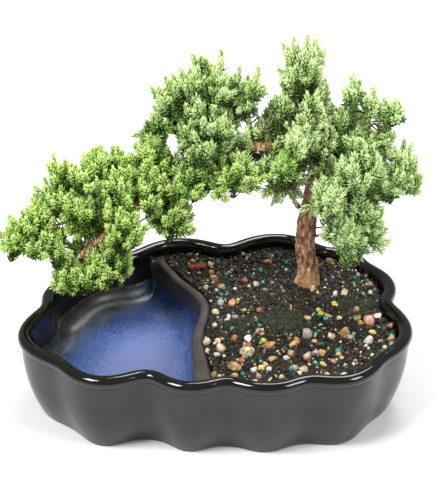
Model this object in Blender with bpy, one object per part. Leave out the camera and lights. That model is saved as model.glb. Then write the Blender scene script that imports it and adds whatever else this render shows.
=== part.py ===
"""A juniper bonsai in a scalloped glazed pot: a planted bed on one side and a water basin on the other.

Metres, +Z up. The origin is the middle of the pot's base, on the surface that the pot stands on.
"""

import math
import random

import bmesh
import bpy
import numpy as np
from mathutils import Matrix, Vector

MM = 0.001

# ---- Driving dimensions --------------------------------------------------------------------------

POT_LENGTH = 240 * MM
POT_WIDTH = 182 * MM
POT_HEIGHT = 56 * MM
WALL = 7 * MM
LIP_WIDTH = 8.4 * MM  # the rolled band round the top, seen from above
LIP_HEIGHT = 8 * MM
LIP_OVERHANG = 2 * MM  # how far the band stands out from the wall below it
BASE_INSET = 12.5 * MM  # how far the foot of the wall lies inside the rim
BED_FLOOR = 7 * MM  # thickness of the floor below the soil
BASIN_FLOOR = 26 * MM  # height of the water basin's floor
BASIN_SHELL = 6 * MM  # thickness of that floor, which is hollow below
BASIN_FILLET = 10 * MM
DIVIDER_WIDTH = 6 * MM
DIVIDER_DROP = 8 * MM  # from the rim down to the divider's top
DRAIN_RADIUS = 7 * MM
GROOVE_WIDTH = 6 * MM
GROOVE_DEPTH = 2 * MM
SOIL_DROP = 8 * MM  # from the rim down to the soil along the walls
SOIL_MOUND = 2.5 * MM  # how much higher the soil lies at the trunk
MOUND_REACH = 45 * MM
TRUNK_RADIUS = 5.8 * MM  # a little above the root flare
ROOT_FLARE = 1.42  # radius at the soil, in trunk radii
ROOT_DEPTH = 13 * MM
FOLIAGE_SIZE = 1.0  # scale of every foliage pad about its own middle
GAP = 0.3 * MM  # between pieces that touch

# ---- Shapes, as shares of the sizes above or in millimetres ----------------------------------------

# Each lobe of the rim, going round anticlockwise: the notch it starts from, as shares of half the
# length and half the width, and how far in millimetres the lobe swells past the line to the next notch.
LOBES = (
    (-0.79, -0.71, 15),
    (-0.33, -0.84, 11),
    (0.06, -0.92, 9),
    (0.46, -0.90, 12),
    (0.85, -0.66, 15),
    (0.92, 0.05, 10),
    (0.84, 0.56, 8),
    (0.62, 0.78, 18),
    (0.06, 0.81, 15),
    (-0.47, 0.71, 9),
    (-0.84, 0.34, 5),
    (-0.90, 0.00, 19),
)
OUTLINE_POINTS = 84
NOTCH_EASING = 5 * MM  # how far the corners between the lobes are eased

# The divider's middle line from back to front, as shares of half the length and half the width.
DIVIDER_LINE = ((-0.34, 0.84), (-0.21, 0.50), (-0.06, 0.16), (-0.09, -0.28), (-0.07, -0.60), (-0.02, -1.05))
DIVIDER_FLARE = 1.1  # how much wider it is at its front end

TRUNK_PLACE = (0.49, 0.40)  # shares of half the length and half the width
DRAIN_PLACE = (0.42, -0.10)
BED_PLACE = (0.40, 0.08)  # the middle of the planted side

# Trunk and limbs: points in millimetres from the trunk's foot at the soil, each with its radius as a
# share of the trunk's.
TRUNK = (
    (0, 0, 10, 1.19), (-2, 0, 22, 1.03), (-2, -1, 39, 0.98), (0, -2, 57, 0.90), (1, -2, 74, 0.76),
    (3, -1, 89, 0.67), (0, 0, 106, 0.52), (-4, 1, 124, 0.40), (-7, 1, 145, 0.28), (-8, 1, 156, 0.19),
)
LIMBS = {
    "main": (
        (2, -1, 84, 0.52), (-10, -4, 96, 0.59), (-23, -8, 99, 0.60), (-37, -10, 101, 0.57),
        (-51, -10, 95, 0.52), (-65, -10, 87, 0.48), (-81, -12, 80, 0.47), (-96, -14, 72, 0.45),
        (-111, -18, 61, 0.45), (-126, -22, 47, 0.43), (-140, -24, 35, 0.38), (-147, -24, 25, 0.24),
    ),
    "mid": ((-40, -10, 99, 0.31), (-55, -6, 106, 0.34), (-65, -2, 117, 0.29), (-67, 0, 134, 0.19)),
    "mid_left": ((-57, -5, 107, 0.24), (-73, -2, 115, 0.24), (-82, -1, 128, 0.17)),
    "mid_low": ((-66, -4, 111, 0.21), (-83, -5, 111, 0.21), (-92, -6, 112, 0.16)),
    "mid_back": ((-60, -4, 111, 0.21), (-58, 12, 118, 0.21), (-56, 22, 126, 0.16)),
    "upright": ((-23, -8, 98, 0.29), (-31, -6, 112, 0.28), (-35, -3, 124, 0.22), (-38, -2, 139, 0.16)),
    "spur": ((-30, -6, 109, 0.21), (-23, -6, 119, 0.19), (-19, -6, 129, 0.16)),
    "shoulder": ((3, -1, 92, 0.33), (11, 2, 100, 0.33), (20, 4, 107, 0.26), (22, 5, 116, 0.17)),
    "right_top": ((10, 1, 98, 0.24), (26, 1, 101, 0.24), (37, -1, 102, 0.19), (41, -2, 109, 0.14)),
    "right_core": (
        (2, -2, 79, 0.38), (14, -6, 82, 0.36), (26, -9, 84, 0.31), (40, -7, 86, 0.24),
        (53, -6, 87, 0.16),
    ),
    "right_low": (
        (1, -2, 66, 0.33), (14, -4, 62, 0.31), (30, -6, 57, 0.28), (37, -9, 46, 0.22),
        (35, -12, 36, 0.16),
    ),
    "right_back": ((3, -1, 86, 0.28), (14, 12, 86, 0.28), (24, 22, 82, 0.19)),
    "crown_back": ((-1, 0, 106, 0.28), (-2, 12, 112, 0.26), (-4, 20, 120, 0.17)),
    "inner_left": ((-2, -2, 49, 0.29), (-11, -6, 62, 0.28), (-16, -10, 76, 0.22), (-18, -12, 88, 0.16)),
    "trunk_front": ((1, -2, 63, 0.26), (5, -16, 71, 0.24), (10, -27, 80, 0.16)),
    "under": ((-38, -10, 100, 0.26), (-45, -14, 94, 0.22), (-49, -16, 86, 0.16)),
    "link": ((-64, -10, 87, 0.26), (-71, -14, 82, 0.21), (-73, -16, 78, 0.16)),
    "cascade_top": ((-84, -12, 78, 0.28), (-93, -8, 82, 0.24), (-98, -6, 89, 0.17)),
    "cascade_mid": ((-101, -15, 68, 0.28), (-113, -11, 74, 0.26), (-120, -9, 84, 0.17)),
    "cascade_left": ((-117, -19, 55, 0.29), (-134, -17, 60, 0.28), (-147, -15, 74, 0.17)),
    "cascade_tip": (
        (-130, -18, 58, 0.24), (-152, -21, 54, 0.24), (-168, -22, 49, 0.19), (-178, -23, 46, 0.14),
    ),
    "cascade_front": ((-106, -17, 64, 0.24), (-112, -26, 63, 0.22), (-117, -32, 60, 0.16)),
    "cascade_heel": ((-79, -12, 80, 0.24), (-83, -15, 69, 0.22), (-85, -16, 57, 0.16)),
    "hang_right": ((-128, -22, 44, 0.24), (-127, -25, 36, 0.21), (-126, -26, 30, 0.16)),
}

# Foliage pads: middle and half sizes in millimetres, the middle from the trunk's foot at the soil.
PADS = {
    "crown_tip": (-7, 0, 148, 12, 14, 19),
    "crown_core": (-4, -4, 121, 17, 18, 20),
    "crown_back": (-3, 20, 122, 15, 13, 17),
    "crown_left": (-20, -5, 127, 9, 12, 16),
    "shoulder_right": (20, 6, 110, 13, 16, 17),
    "right_top": (38, -2, 105, 13, 15, 16),
    "right_tip": (54, -6, 86, 12, 16, 20),
    "right_core": (25, -12, 86, 17, 17, 18),
    "right_back": (26, 22, 82, 17, 12, 16),
    "right_low": (31, -6, 58, 18, 20, 17),
    "right_skirt": (33, -12, 35, 17, 15, 11),
    "trunk_front": (10, -28, 79, 11, 11, 20),
    "inner_left": (-18, -12, 85, 14, 16, 17),
    "limb_under": (-48, -16, 88, 18, 16, 14),
    "limb_top": (-38, -2, 137, 11, 13, 22),
    "mid_crown": (-64, -1, 139, 18, 18, 19),
    "mid_left": (-82, -2, 129, 13, 17, 21),
    "mid_front": (-66, -17, 115, 21, 16, 14),
    "mid_back": (-56, 20, 124, 18, 12, 15),
    "mid_low": (-93, -6, 112, 12, 12, 11),
    "link": (-73, -15, 84, 13, 14, 16),
    "cascade_top": (-98, -7, 84, 16, 16, 20),
    "cascade_mid": (-120, -9, 80, 17, 18, 21),
    "cascade_left": (-147, -15, 72, 18, 18, 23),
    "cascade_tip": (-170, -22, 48, 19, 16, 14),
    "cascade_front": (-117, -32, 60, 18, 14, 15),
    "cascade_heel": (-85, -16, 58, 12, 12, 13),
    "hang_right": (-125, -26, 30, 16, 14, 12),
    "hang_left": (-147, -26, 20, 15, 14, 10),
}
PAD_SEGMENTS = 12
PAD_RINGS = 6
PAD_LUMPS = 0.07  # how uneven a pad's surface is, as a share of its half sizes

# Larger stones on the soil: place as shares of half the pot's length and width, half sizes in
# millimetres, turn in degrees.
STONES = {
    "cream_block": (0.160, -0.480, 4.6, 3.6, 3.4, 20),
    "white_flake": (0.165, -0.327, 3.7, 2.8, 2.2, 70),
    "grey_pebble": (0.230, -0.240, 2.9, 2.7, 2.3, 0),
    "long_cream": (0.265, -0.400, 5.4, 2.4, 2.3, 8),
    "white_quartz": (0.467, -0.267, 4.3, 3.6, 3.4, 35),
    "orange_pebble": (0.392, -0.388, 3.1, 2.9, 2.8, 60),
    "tan_upright": (0.655, -0.280, 3.0, 3.2, 4.6, 80),
    "cream_pebble": (0.586, -0.300, 2.2, 2.6, 2.8, 0),
    "white_round": (0.770, -0.345, 3.1, 2.9, 2.9, 0),
    "pink_block": (0.790, -0.125, 4.8, 4.2, 3.9, 50),
    "peach_pebble": (0.529, -0.492, 2.9, 2.7, 2.6, -35),
    "yellow_flat": (0.619, 0.092, 2.7, 2.2, 1.9, 0),
    "back_cream": (0.680, 0.236, 2.8, 2.6, 2.6, 10),
    "tan_corner": (0.090, -0.665, 4.5, 3.3, 3.0, -20),
    "grey_front": (0.391, -0.675, 2.3, 2.4, 2.4, 30),
    "yellow_front": (0.228, -0.675, 2.2, 2.1, 2.2, 0),
    "left_grey": (0.025, 0.122, 2.2, 3.0, 2.3, 15),
    "left_tan": (-0.010, 0.444, 3.2, 2.6, 2.6, -30),
    "back_tan": (0.283, 0.660, 2.8, 2.2, 2.0, 0),
    "rust_pebble": (0.233, 0.012, 2.7, 2.4, 2.2, 0),
}
STONE_SINK = 0.3  # share of a stone's height that lies in the soil

# Moss on the soil: middle and half sizes as shares of half the pot's length and width, height in millimetres.
MOSS = {
    "front": (0.350, -0.120, 0.108, 0.088, 2.4),
    "right": (0.740, 0.050, 0.067, 0.055, 2.0),
    "left": (0.110, -0.180, 0.058, 0.099, 1.8),
}
MOSS_POINTS = 14
BARK_CHIP = (-0.100, 0.600, 6.0, 2.6, 1.4, 12)  # place, half sizes and turn, as for the stones

COLOURS = {
    "glaze": ((0.030, 0.026, 0.024), 0.12),
    "mesh_plastic": ((0.02, 0.02, 0.02), 0.5),
    "soil": ((0.035, 0.024, 0.016), 0.95),
    "moss": ((0.06, 0.09, 0.03), 0.9),
    "stone": ((0.48, 0.38, 0.27), 0.6),
    "bark_chip": ((0.17, 0.05, 0.03), 0.8),
    "bark": ((0.20, 0.10, 0.06), 0.85),
    "foliage": ((0.16, 0.30, 0.07), 0.6),
}


# ---- Plain geometry helpers ------------------------------------------------------------------------


def smoothed(points, passes, closed=True):
    """A chain of points eased by repeated averaging with its neighbours."""
    for _ in range(passes):
        if closed:
            points = 0.5 * points + 0.25 * (np.roll(points, 1, axis=0) + np.roll(points, -1, axis=0))
        else:
            points[1:-1] = 0.5 * points[1:-1] + 0.25 * (points[:-2] + points[2:])
    return points


def respaced(points, count, closed=True):
    """Count points at equal steps along the chain."""
    chain = np.vstack([points, points[:1]]) if closed else points
    along = np.concatenate([[0.0], np.cumsum(np.linalg.norm(np.diff(chain, axis=0), axis=1))])
    steps = np.linspace(0.0, along[-1], count + 1)[:-1] if closed else np.linspace(0.0, along[-1], count)
    return np.column_stack([np.interp(steps, along, chain[:, axis]) for axis in range(chain.shape[1])])


def side_normals(points, closed=True):
    """Unit normals to the right of the way along a flat chain: outwards on an anticlockwise loop."""
    if closed:
        ahead = np.roll(points, -1, axis=0) - np.roll(points, 1, axis=0)
    else:
        ahead = np.gradient(points, axis=0)
    normals = np.column_stack([ahead[:, 1], -ahead[:, 0]])
    return normals / np.linalg.norm(normals, axis=1)[:, None]


def inset(loop, distance):
    """The loop moved inwards by a distance."""
    return loop - side_normals(loop) * distance


def distance_to(loop, points):
    """How far each point is from the nearest stretch of a closed loop."""
    ends = np.roll(loop, -1, axis=0)
    run = ends - loop
    offset = points[:, None, :] - loop[None, :, :]
    share = np.clip((offset * run).sum(-1) / (run * run).sum(-1), 0.0, 1.0)
    return np.linalg.norm(offset - share[..., None] * run, axis=-1).min(axis=1)


def crossings(loop, line):
    """Where an open line crosses a closed loop: (line position, loop position, point) in line order."""
    found = []
    for i, (a, b) in enumerate(zip(line[:-1], line[1:])):
        for j, (c, d) in enumerate(zip(loop, np.roll(loop, -1, axis=0))):
            along, across = b - a, d - c
            turn = along[0] * across[1] - along[1] * across[0]
            if abs(turn) < 1e-15:
                continue
            gap = c - a
            s = (gap[0] * across[1] - gap[1] * across[0]) / turn
            t = (gap[0] * along[1] - gap[1] * along[0]) / turn
            if 0 <= s < 1 and 0 <= t < 1:
                found.append((i + s, j + t, a + s * along))
    return sorted(found, key=lambda crossing: crossing[0])


def curve_through(points, count):
    """Points on a smooth curve through the given points (Catmull-Rom)."""
    points = np.array(points, float)
    chain = np.vstack([2 * points[0] - points[1], points, 2 * points[-1] - points[-2]])
    spots = np.linspace(0, len(points) - 1, count)
    first = np.minimum(spots.astype(int), len(points) - 2)
    t = (spots - first)[:, None]
    p0, p1, p2, p3 = (chain[first + k] for k in range(4))
    square = 2 * p0 - 5 * p1 + 4 * p2 - p3
    cube = 3 * p1 - p0 - 3 * p2 + p3
    return 0.5 * (2 * p1 + (p2 - p0) * t + square * t**2 + cube * t**3)


# ---- Blender helpers -------------------------------------------------------------------------------


def material(name):
    """The named Principled material, made once."""
    if name in bpy.data.materials:
        return bpy.data.materials[name]
    colour, roughness = COLOURS[name]
    made = bpy.data.materials.new(name)
    made.use_nodes = True
    shader = made.node_tree.nodes["Principled BSDF"]
    shader.inputs["Base Color"].default_value = (*colour, 1.0)
    shader.inputs["Roughness"].default_value = roughness
    shader.inputs["Metallic"].default_value = 0.0
    return made


def solid(name, bm, finish="glaze"):
    """An object from a bmesh, with its faces turned outwards."""
    bmesh.ops.recalc_face_normals(bm, faces=bm.faces)
    mesh = bpy.data.meshes.new(name)
    bm.to_mesh(mesh)
    bm.free()
    made = bpy.data.objects.new(name, mesh)
    made.data.materials.append(material(finish))
    bpy.context.scene.collection.objects.link(made)
    return made


def loft(name, rings, finish="glaze"):
    """A closed solid through rings of 3-D points, from the bottom ring to the top one."""
    bm = bmesh.new()
    rows = [[bm.verts.new(point) for point in ring] for ring in rings]
    for lower, upper in zip(rows[:-1], rows[1:]):
        for i in range(len(lower)):
            j = (i + 1) % len(lower)
            bm.faces.new((lower[i], lower[j], upper[j], upper[i]))
    bm.faces.new(rows[0][::-1])
    bm.faces.new(rows[-1])
    return solid(name, bm, finish)


def at_height(loop, height):
    """A flat loop as 3-D points at one height, or at one height per point."""
    return np.column_stack([loop, np.broadcast_to(height, len(loop))])


def combine(target, tool, operation):
    """Applies one exact Boolean of the tool to the target and removes the tool."""
    change = target.modifiers.new(operation, "BOOLEAN")
    change.operation = operation
    change.solver = "EXACT"
    change.object = tool
    graph = bpy.context.evaluated_depsgraph_get()
    result = bpy.data.meshes.new_from_object(target.evaluated_get(graph))
    target.modifiers.clear()
    target.data = result
    bpy.data.objects.remove(tool)


def keep_largest(target):
    """Drops the crumbs that a cut leaves beside the main body, and welds the rest."""
    bm = bmesh.new()
    bm.from_mesh(target.data)
    bmesh.ops.remove_doubles(bm, verts=bm.verts, dist=0.01 * MM)
    left = set(bm.verts)
    bodies = []
    while left:
        body, front = set(), [left.pop()]
        while front:
            vert = front.pop()
            body.add(vert)
            near = {edge.other_vert(vert) for edge in vert.link_edges} & left
            left -= near
            front.extend(near)
        bodies.append(body)
    bodies.sort(key=len)
    for body in bodies[:-1]:
        bmesh.ops.delete(bm, geom=list(body), context="VERTS")
    bm.to_mesh(target.data)
    bm.free()


def shade(target, angle=40):
    """Shades smooth, with creases kept at edges sharper than the angle."""
    target.data.shade_smooth()
    target.data.set_sharp_from_angle(angle=math.radians(angle))


# ---- The pot ---------------------------------------------------------------------------------------


def rim_outline():
    """The rim seen from above: a swelling arc from each notch to the next, with the notches eased."""
    half = np.array([POT_LENGTH, POT_WIDTH]) / 2
    steps = 60
    across = np.linspace(0, 1, steps, endpoint=False)[:, None]
    arcs = []
    for (ax, ay, swell), (bx, by, _) in zip(LOBES, LOBES[1:] + LOBES[:1]):
        start, end = np.array([ax, ay]) * half, np.array([bx, by]) * half
        outward = np.array([end[1] - start[1], start[0] - end[0]])
        outward /= np.linalg.norm(outward)
        arcs.append(start + (end - start) * across + outward * swell * MM * 4 * across * (1 - across))
    dense = respaced(np.vstack(arcs), steps * len(LOBES))
    spacing = np.linalg.norm(dense[1] - dense[0])
    dense = smoothed(dense, int(2 * (NOTCH_EASING / spacing) ** 2))
    low, high = dense.min(axis=0), dense.max(axis=0)
    return (respaced(dense, OUTLINE_POINTS) - (low + high) / 2) * (2 * half) / (high - low)


RIM = rim_outline()
LIP_FOOT = POT_HEIGHT - LIP_HEIGHT
DIVIDER_TOP = POT_HEIGHT - DIVIDER_DROP
SOIL_LEVEL = POT_HEIGHT - SOIL_DROP


def on_plan(x_share, y_share):
    """A place seen from above, from its shares of half the pot's length and width."""
    return np.array([x_share * POT_LENGTH / 2, y_share * POT_WIDTH / 2])


TREE_FOOT = Vector((*on_plan(*TRUNK_PLACE), SOIL_LEVEL + SOIL_MOUND))


def wall_inset(height):
    """How far the outside of the wall lies inside the rim at a height below the lip."""
    down = 1 - min(height, LIP_FOOT) / LIP_FOOT
    return LIP_OVERHANG + (BASE_INSET - LIP_OVERHANG) * down**2.2


def pot_block(name, shrink=0.0):
    """The pot as a full block: foot, curved wall and rolled lip, drawn in all round by a shrinkage."""
    edge = 1.6 * MM
    stations = [(0, wall_inset(0) + edge), (edge, wall_inset(edge))]
    stations += [(share * LIP_FOOT, wall_inset(share * LIP_FOOT)) for share in (0.15, 0.35, 0.65, 1.0)]
    roll = LIP_WIDTH / 2
    for turn in (-60, -25, 15, 55, 90):
        angle = math.radians(turn)
        reach = roll * (1 - math.cos(angle))
        rise = LIP_HEIGHT / 2 * math.sin(angle)
        stations.append((POT_HEIGHT - LIP_HEIGHT / 2 + rise, reach))
    return loft(name, [at_height(inset(RIM, depth + shrink), height) for height, depth in stations])


def inside_stations(slack):
    """Heights and insets of the inner wall, from the bed's floor up to the middle of the lip."""
    stations = []
    for rise, foot in ((0, 3), (3, 0)):
        height = BED_FLOOR + rise * MM
        stations.append((height, wall_inset(height) + WALL + foot * MM))
    for share in (0.35, 0.65, 1.0):
        stations.append((share * LIP_FOOT, wall_inset(share * LIP_FOOT) + WALL))
    return [(height, depth + slack) for height, depth in stations]


def pot_inside():
    """The space inside the walls, wider at the top where the lip rolls inwards."""
    stations = inside_stations(0)
    roll = LIP_WIDTH / 2
    for turn in (0, 45, 80):
        angle = math.radians(turn)
        height = POT_HEIGHT - LIP_HEIGHT / 2 + LIP_HEIGHT / 2 * math.sin(angle)
        stations.append((height, LIP_WIDTH - roll * (1 - math.cos(angle))))
    stations.append((POT_HEIGHT + 5 * MM, stations[-1][1]))
    return loft("inside", [at_height(inset(RIM, depth), height) for height, depth in stations])


def divider_line(extra=0.0):
    """The divider's middle line from back to front, ending halfway through the wall, and its half widths."""
    half = np.array([POT_LENGTH, POT_WIDTH]) / 2
    line = curve_through(np.array(DIVIDER_LINE) * half, 80)
    reach = 30 * MM
    start = line[0] + (line[0] - line[1]) / np.linalg.norm(line[0] - line[1]) * reach
    end = line[-1] + (line[-1] - line[-2]) / np.linalg.norm(line[-1] - line[-2]) * reach
    line = np.vstack([start, line, end])
    middle = inset(RIM, wall_inset(LIP_FOOT) + WALL * 0.55)
    cuts = crossings(middle, line)
    first, last = cuts[0], cuts[-1]
    inner = line[int(first[0]) + 1 : int(last[0]) + 1]
    line = respaced(np.vstack([first[2], inner, last[2]]), 22, closed=False)
    flare = np.linspace(0, 1, len(line)) ** 3 * DIVIDER_FLARE
    return line, DIVIDER_WIDTH / 2 * (1 + flare) + extra


def divider():
    """The wall between bed and basin: a round-topped ribbon along its line."""
    line, half_widths = divider_line()
    normals = side_normals(line, closed=False)
    round_top = 2.6 * MM
    section = [(-1.0, BED_FLOOR - 2 * MM), (1.0, BED_FLOOR - 2 * MM), (1.0, DIVIDER_TOP - round_top)]
    section += [(0.6, DIVIDER_TOP - 0.4 * MM), (0.0, DIVIDER_TOP)]
    section += [(-0.6, DIVIDER_TOP - 0.4 * MM), (-1.0, DIVIDER_TOP - round_top)]
    rings = []
    for point, normal, half_width in zip(line, normals, half_widths):
        rings.append([(*(point + normal * side * half_width), height) for side, height in section])
    return loft("divider", rings)


def basin_loop():
    """The basin's outline, taken halfway into the wall and along the divider's middle line."""
    line, _ = divider_line()
    wall = inset(RIM, wall_inset(BASIN_FLOOR) + WALL / 2)
    extended = np.vstack([2 * line[0] - line[1], line, 2 * line[-1] - line[-2]])
    cuts = crossings(wall, extended)
    back, front = cuts[0], cuts[-1]
    first, last = int(back[1]) + 1, int(front[1])
    around = wall[first : last + 1] if first <= last else np.vstack([wall[first:], wall[: last + 1]])
    along = extended[int(back[0]) + 1 : int(front[0]) + 1][::-1]
    return respaced(np.vstack([back[2], around, front[2], along]), 56)


def star_rings(loop, middle, shares):
    """Copies of a loop drawn in towards a middle point."""
    return [middle + (loop - middle) * share for share in shares]


def basin_floor():
    """The basin's raised floor, dished up to the walls round it."""
    loop = basin_loop()
    middle = loop.mean(axis=0)
    rings = [at_height(loop, BASIN_FLOOR - BASIN_SHELL)]
    for ring in star_rings(loop, middle, (1.0, 0.95, 0.89, 0.80, 0.66)):
        depth = np.maximum(distance_to(loop, ring) - WALL / 2, 0.13 * BASIN_FILLET)
        left = np.clip(BASIN_FILLET - depth, 0, None)
        rise = BASIN_FILLET - np.sqrt(BASIN_FILLET**2 - left**2)
        rings.append(at_height(ring, BASIN_FLOOR + rise))
    return loft("basin_floor", rings)


def hollow_below_basin():
    """The opening in the base that leaves the raised floor hollow underneath."""
    loop = basin_loop()
    ring = star_rings(loop, loop.mean(axis=0), (0.80,))[0]
    return loft("hollow", [at_height(ring, -5 * MM), at_height(ring, BED_FLOOR + 4 * MM)])


def drain_middle():
    return on_plan(*DRAIN_PLACE)


def disc(name, radius, bottom, top, finish="glaze"):
    """An upright disc on the drain's axis."""
    bm = bmesh.new()
    place = Matrix.Translation((*drain_middle(), (bottom + top) / 2))
    bmesh.ops.create_cone(
        bm, cap_ends=True, segments=24, radius1=radius, radius2=radius, depth=top - bottom, matrix=place
    )
    return solid(name, bm, finish)


def drain_groove():
    """A channel under the base from the drain hole to the back, so that water can run out."""
    bm = bmesh.new()
    x, y = drain_middle()
    run = POT_WIDTH
    size = Matrix.Diagonal((GROOVE_WIDTH, run, 2 * GROOVE_DEPTH, 1))
    bmesh.ops.create_cube(bm, size=1, matrix=Matrix.Translation((x, y + run / 2, 0)) @ size)
    return solid("drain_groove", bm)


def make_pot():
    pot = pot_block("pot")
    combine(pot, pot_inside(), "DIFFERENCE")
    ribbon = divider()
    combine(ribbon, pot_block("wall_core", WALL / 2), "INTERSECT")
    combine(pot, ribbon, "UNION")
    combine(pot, basin_floor(), "UNION")
    combine(pot, hollow_below_basin(), "DIFFERENCE")
    combine(pot, disc("drain_hole", DRAIN_RADIUS, -BED_FLOOR, 2 * BED_FLOOR), "DIFFERENCE")
    combine(pot, drain_groove(), "DIFFERENCE")
    keep_largest(pot)
    shade(pot)


SCREEN_RADIUS = DRAIN_RADIUS + 4 * MM
SCREEN_THICKNESS = 1.2 * MM


def make_drain_screen():
    bottom = BED_FLOOR + GAP
    disc("drain_screen", SCREEN_RADIUS, bottom, bottom + SCREEN_THICKNESS, "mesh_plastic")


# ---- Soil and what lies on it ------------------------------------------------------------------------


def soil_height(points):
    """Height of the soil: a low mound at the trunk with gentle unevenness."""
    foot = np.array(TREE_FOOT[:2])
    away = np.linalg.norm(points - foot, axis=1)
    mound = SOIL_MOUND * np.exp(-((away / MOUND_REACH) ** 2))
    waves = np.sin(points[:, 0] / (11 * MM)) + np.cos(points[:, 1] / (9 * MM) + 1)
    return SOIL_LEVEL + mound + 0.3 * MM * waves


def soil_height_at(x, y):
    return float(soil_height(np.array([[x, y]]))[0])


def basin_side():
    """Everything on the basin's side of the bed, up to a gap past the divider's face."""
    line, half_widths = divider_line(GAP)
    face = line - side_normals(line, closed=False) * half_widths[:, None]
    reach = 40 * MM
    start = face[0] + (face[0] - face[1]) / np.linalg.norm(face[0] - face[1]) * reach
    end = face[-1] + (face[-1] - face[-2]) / np.linalg.norm(face[-1] - face[-2]) * reach
    left = -POT_LENGTH
    loop = np.vstack([end, face[::-1], start, [(left, start[1])], [(left, end[1])]])
    return loft("basin_side", [at_height(loop, -10 * MM), at_height(loop, POT_HEIGHT + 20 * MM)])


def make_soil(trunk_gauge, stone_gauges):
    loops = [at_height(inset(RIM, depth), height) for height, depth in inside_stations(GAP)[:-1]]
    loops[0][:, 2] += GAP
    edge = inset(RIM, wall_inset(LIP_FOOT) + WALL + GAP)
    for ring in star_rings(edge, on_plan(*BED_PLACE), (1.0, 0.78, 0.5, 0.2)):
        loops.append(at_height(ring, soil_height(ring)))
    soil = loft("soil", loops, "soil")
    combine(soil, basin_side(), "DIFFERENCE")
    combine(soil, trunk_gauge, "DIFFERENCE")
    screen_top = BED_FLOOR + GAP + SCREEN_THICKNESS
    pocket = disc("screen_pocket", SCREEN_RADIUS + GAP, 0, screen_top + GAP, "soil")
    combine(soil, pocket, "DIFFERENCE")
    for gauge in stone_gauges:
        combine(soil, gauge, "DIFFERENCE")
    keep_largest(soil)
    shade(soil)


def lump(name, middle, half_sizes, turn, seed, finish, grow=0.0, unevenness=0.1):
    """A rounded stone-like solid."""
    source = random.Random(seed)
    bm = bmesh.new()
    bmesh.ops.create_icosphere(bm, subdivisions=2, radius=1)
    tilts = [(Vector((source.uniform(-1, 1) for _ in range(3))), source.uniform(2, 4)) for _ in range(3)]
    for vert in bm.verts:
        wave = sum(math.sin(axis.dot(vert.co) * rate + rate) for axis, rate in tilts) / 3
        size = 1 + unevenness * wave
        vert.co = Vector(vert.co[k] * (half_sizes[k] * size + grow) for k in range(3))
    bmesh.ops.rotate(bm, verts=bm.verts, cent=(0, 0, 0), matrix=Matrix.Rotation(math.radians(turn), 3, "Z"))
    bmesh.ops.translate(bm, verts=bm.verts, vec=middle)
    return solid(name, bm, finish)


def make_stones():
    """The larger stones, and a gauge a gap larger than each to seat it in the soil."""
    gauges = []
    for seed, (name, (x, y, a, b, c, turn)) in enumerate(STONES.items()):
        x, y = on_plan(x, y)
        half = (a * MM, b * MM, c * MM)
        middle = Vector((x, y, soil_height_at(x, y) + half[2] * (1 - 2 * STONE_SINK)))
        shade(lump(f"stone_{name}", middle, half, turn, seed, "stone"), 60)
        gauges.append(lump(f"gauge_{name}", middle, half, turn, seed, "stone", grow=GAP))
    return gauges


def moss_outline(x, y, a, b, seed):
    """An uneven oval round a point of the bed."""
    source = random.Random(seed)
    turns = np.linspace(0, 2 * math.pi, MOSS_POINTS, endpoint=False)
    start = source.uniform(0, 6)
    size = 1 + 0.10 * np.sin(3 * turns + start) + 0.06 * np.sin(5 * turns + 2 * start)
    middle = on_plan(x, y)
    oval = np.column_stack([a * POT_LENGTH / 2 * np.cos(turns), b * POT_WIDTH / 2 * np.sin(turns)])
    return middle, middle + oval * size[:, None]


def make_moss():
    """Low cushions that lie on the soil, a gap above it."""
    for seed, (name, (x, y, a, b, height)) in enumerate(MOSS.items()):
        middle, outline = moss_outline(x, y, a, b, seed)
        rings = []
        for share in (0.1, 0.55, 1.0):
            ring = star_rings(outline, middle, (share,))[0]
            rings.append(at_height(ring, soil_height(ring) + 2 * GAP))
        for share in (0.97, 0.8, 0.5, 0.15):
            ring = star_rings(outline, middle, (share,))[0]
            dome = height * MM * (1 - share**2) ** 0.5
            rings.append(at_height(ring, soil_height(ring) + 2 * GAP + 0.4 * MM + dome))
        shade(loft(f"moss_{name}", rings, "moss"))


def make_bark_chip():
    x, y, a, b, c, turn = BARK_CHIP
    x, y = on_plan(x, y)
    bm = bmesh.new()
    bmesh.ops.create_cube(bm, size=2, matrix=Matrix.Diagonal((a * MM, b * MM, c * MM, 1)))
    bmesh.ops.bevel(
        bm, geom=bm.edges, offset=0.8 * MM, segments=1, profile=0.5, affect="EDGES", material=-1
    )
    bmesh.ops.rotate(bm, verts=bm.verts, cent=(0, 0, 0), matrix=Matrix.Rotation(math.radians(turn), 3, "Z"))
    rest = soil_height(np.array([[vert.co.x + x, vert.co.y + y] for vert in bm.verts])).max()
    bmesh.ops.translate(bm, verts=bm.verts, vec=(x, y, rest + c * MM + GAP))
    solid("bark_chip", bm, "bark_chip")


# ---- The tree ----------------------------------------------------------------------------------------


def tube(name, points, radii, sides, grow=0.0, finish="bark"):
    """A tapering limb along a smooth curve through its points, with rings square to its run."""
    points, radii = np.array(points), np.array(radii) + grow
    ahead = np.gradient(points, axis=0)
    points = points.copy()
    points[0] -= ahead[0] / np.linalg.norm(ahead[0]) * grow
    points[-1] += ahead[-1] / np.linalg.norm(ahead[-1]) * grow
    rings = []
    side = Vector((0.3, 1.0, 0.2))
    for point, run, radius in zip(points, ahead, radii):
        along = Vector(run).normalized()
        side = (side - along * side.dot(along)).normalized()
        other = along.cross(side)
        ring = []
        for step in range(sides):
            angle = 2 * math.pi * step / sides
            ring.append(Vector(point) + (side * math.cos(angle) + other * math.sin(angle)) * radius)
        rings.append(ring)
    return loft(name, rings, finish)


def limb_path(stations, per_span):
    """Points in metres and radii along a limb given in millimetres from the tree's foot."""
    curve = curve_through(stations, (len(stations) - 1) * per_span + 1)
    return curve[:, :3] * MM + np.array(TREE_FOOT), curve[:, 3] * TRUNK_RADIUS


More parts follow.
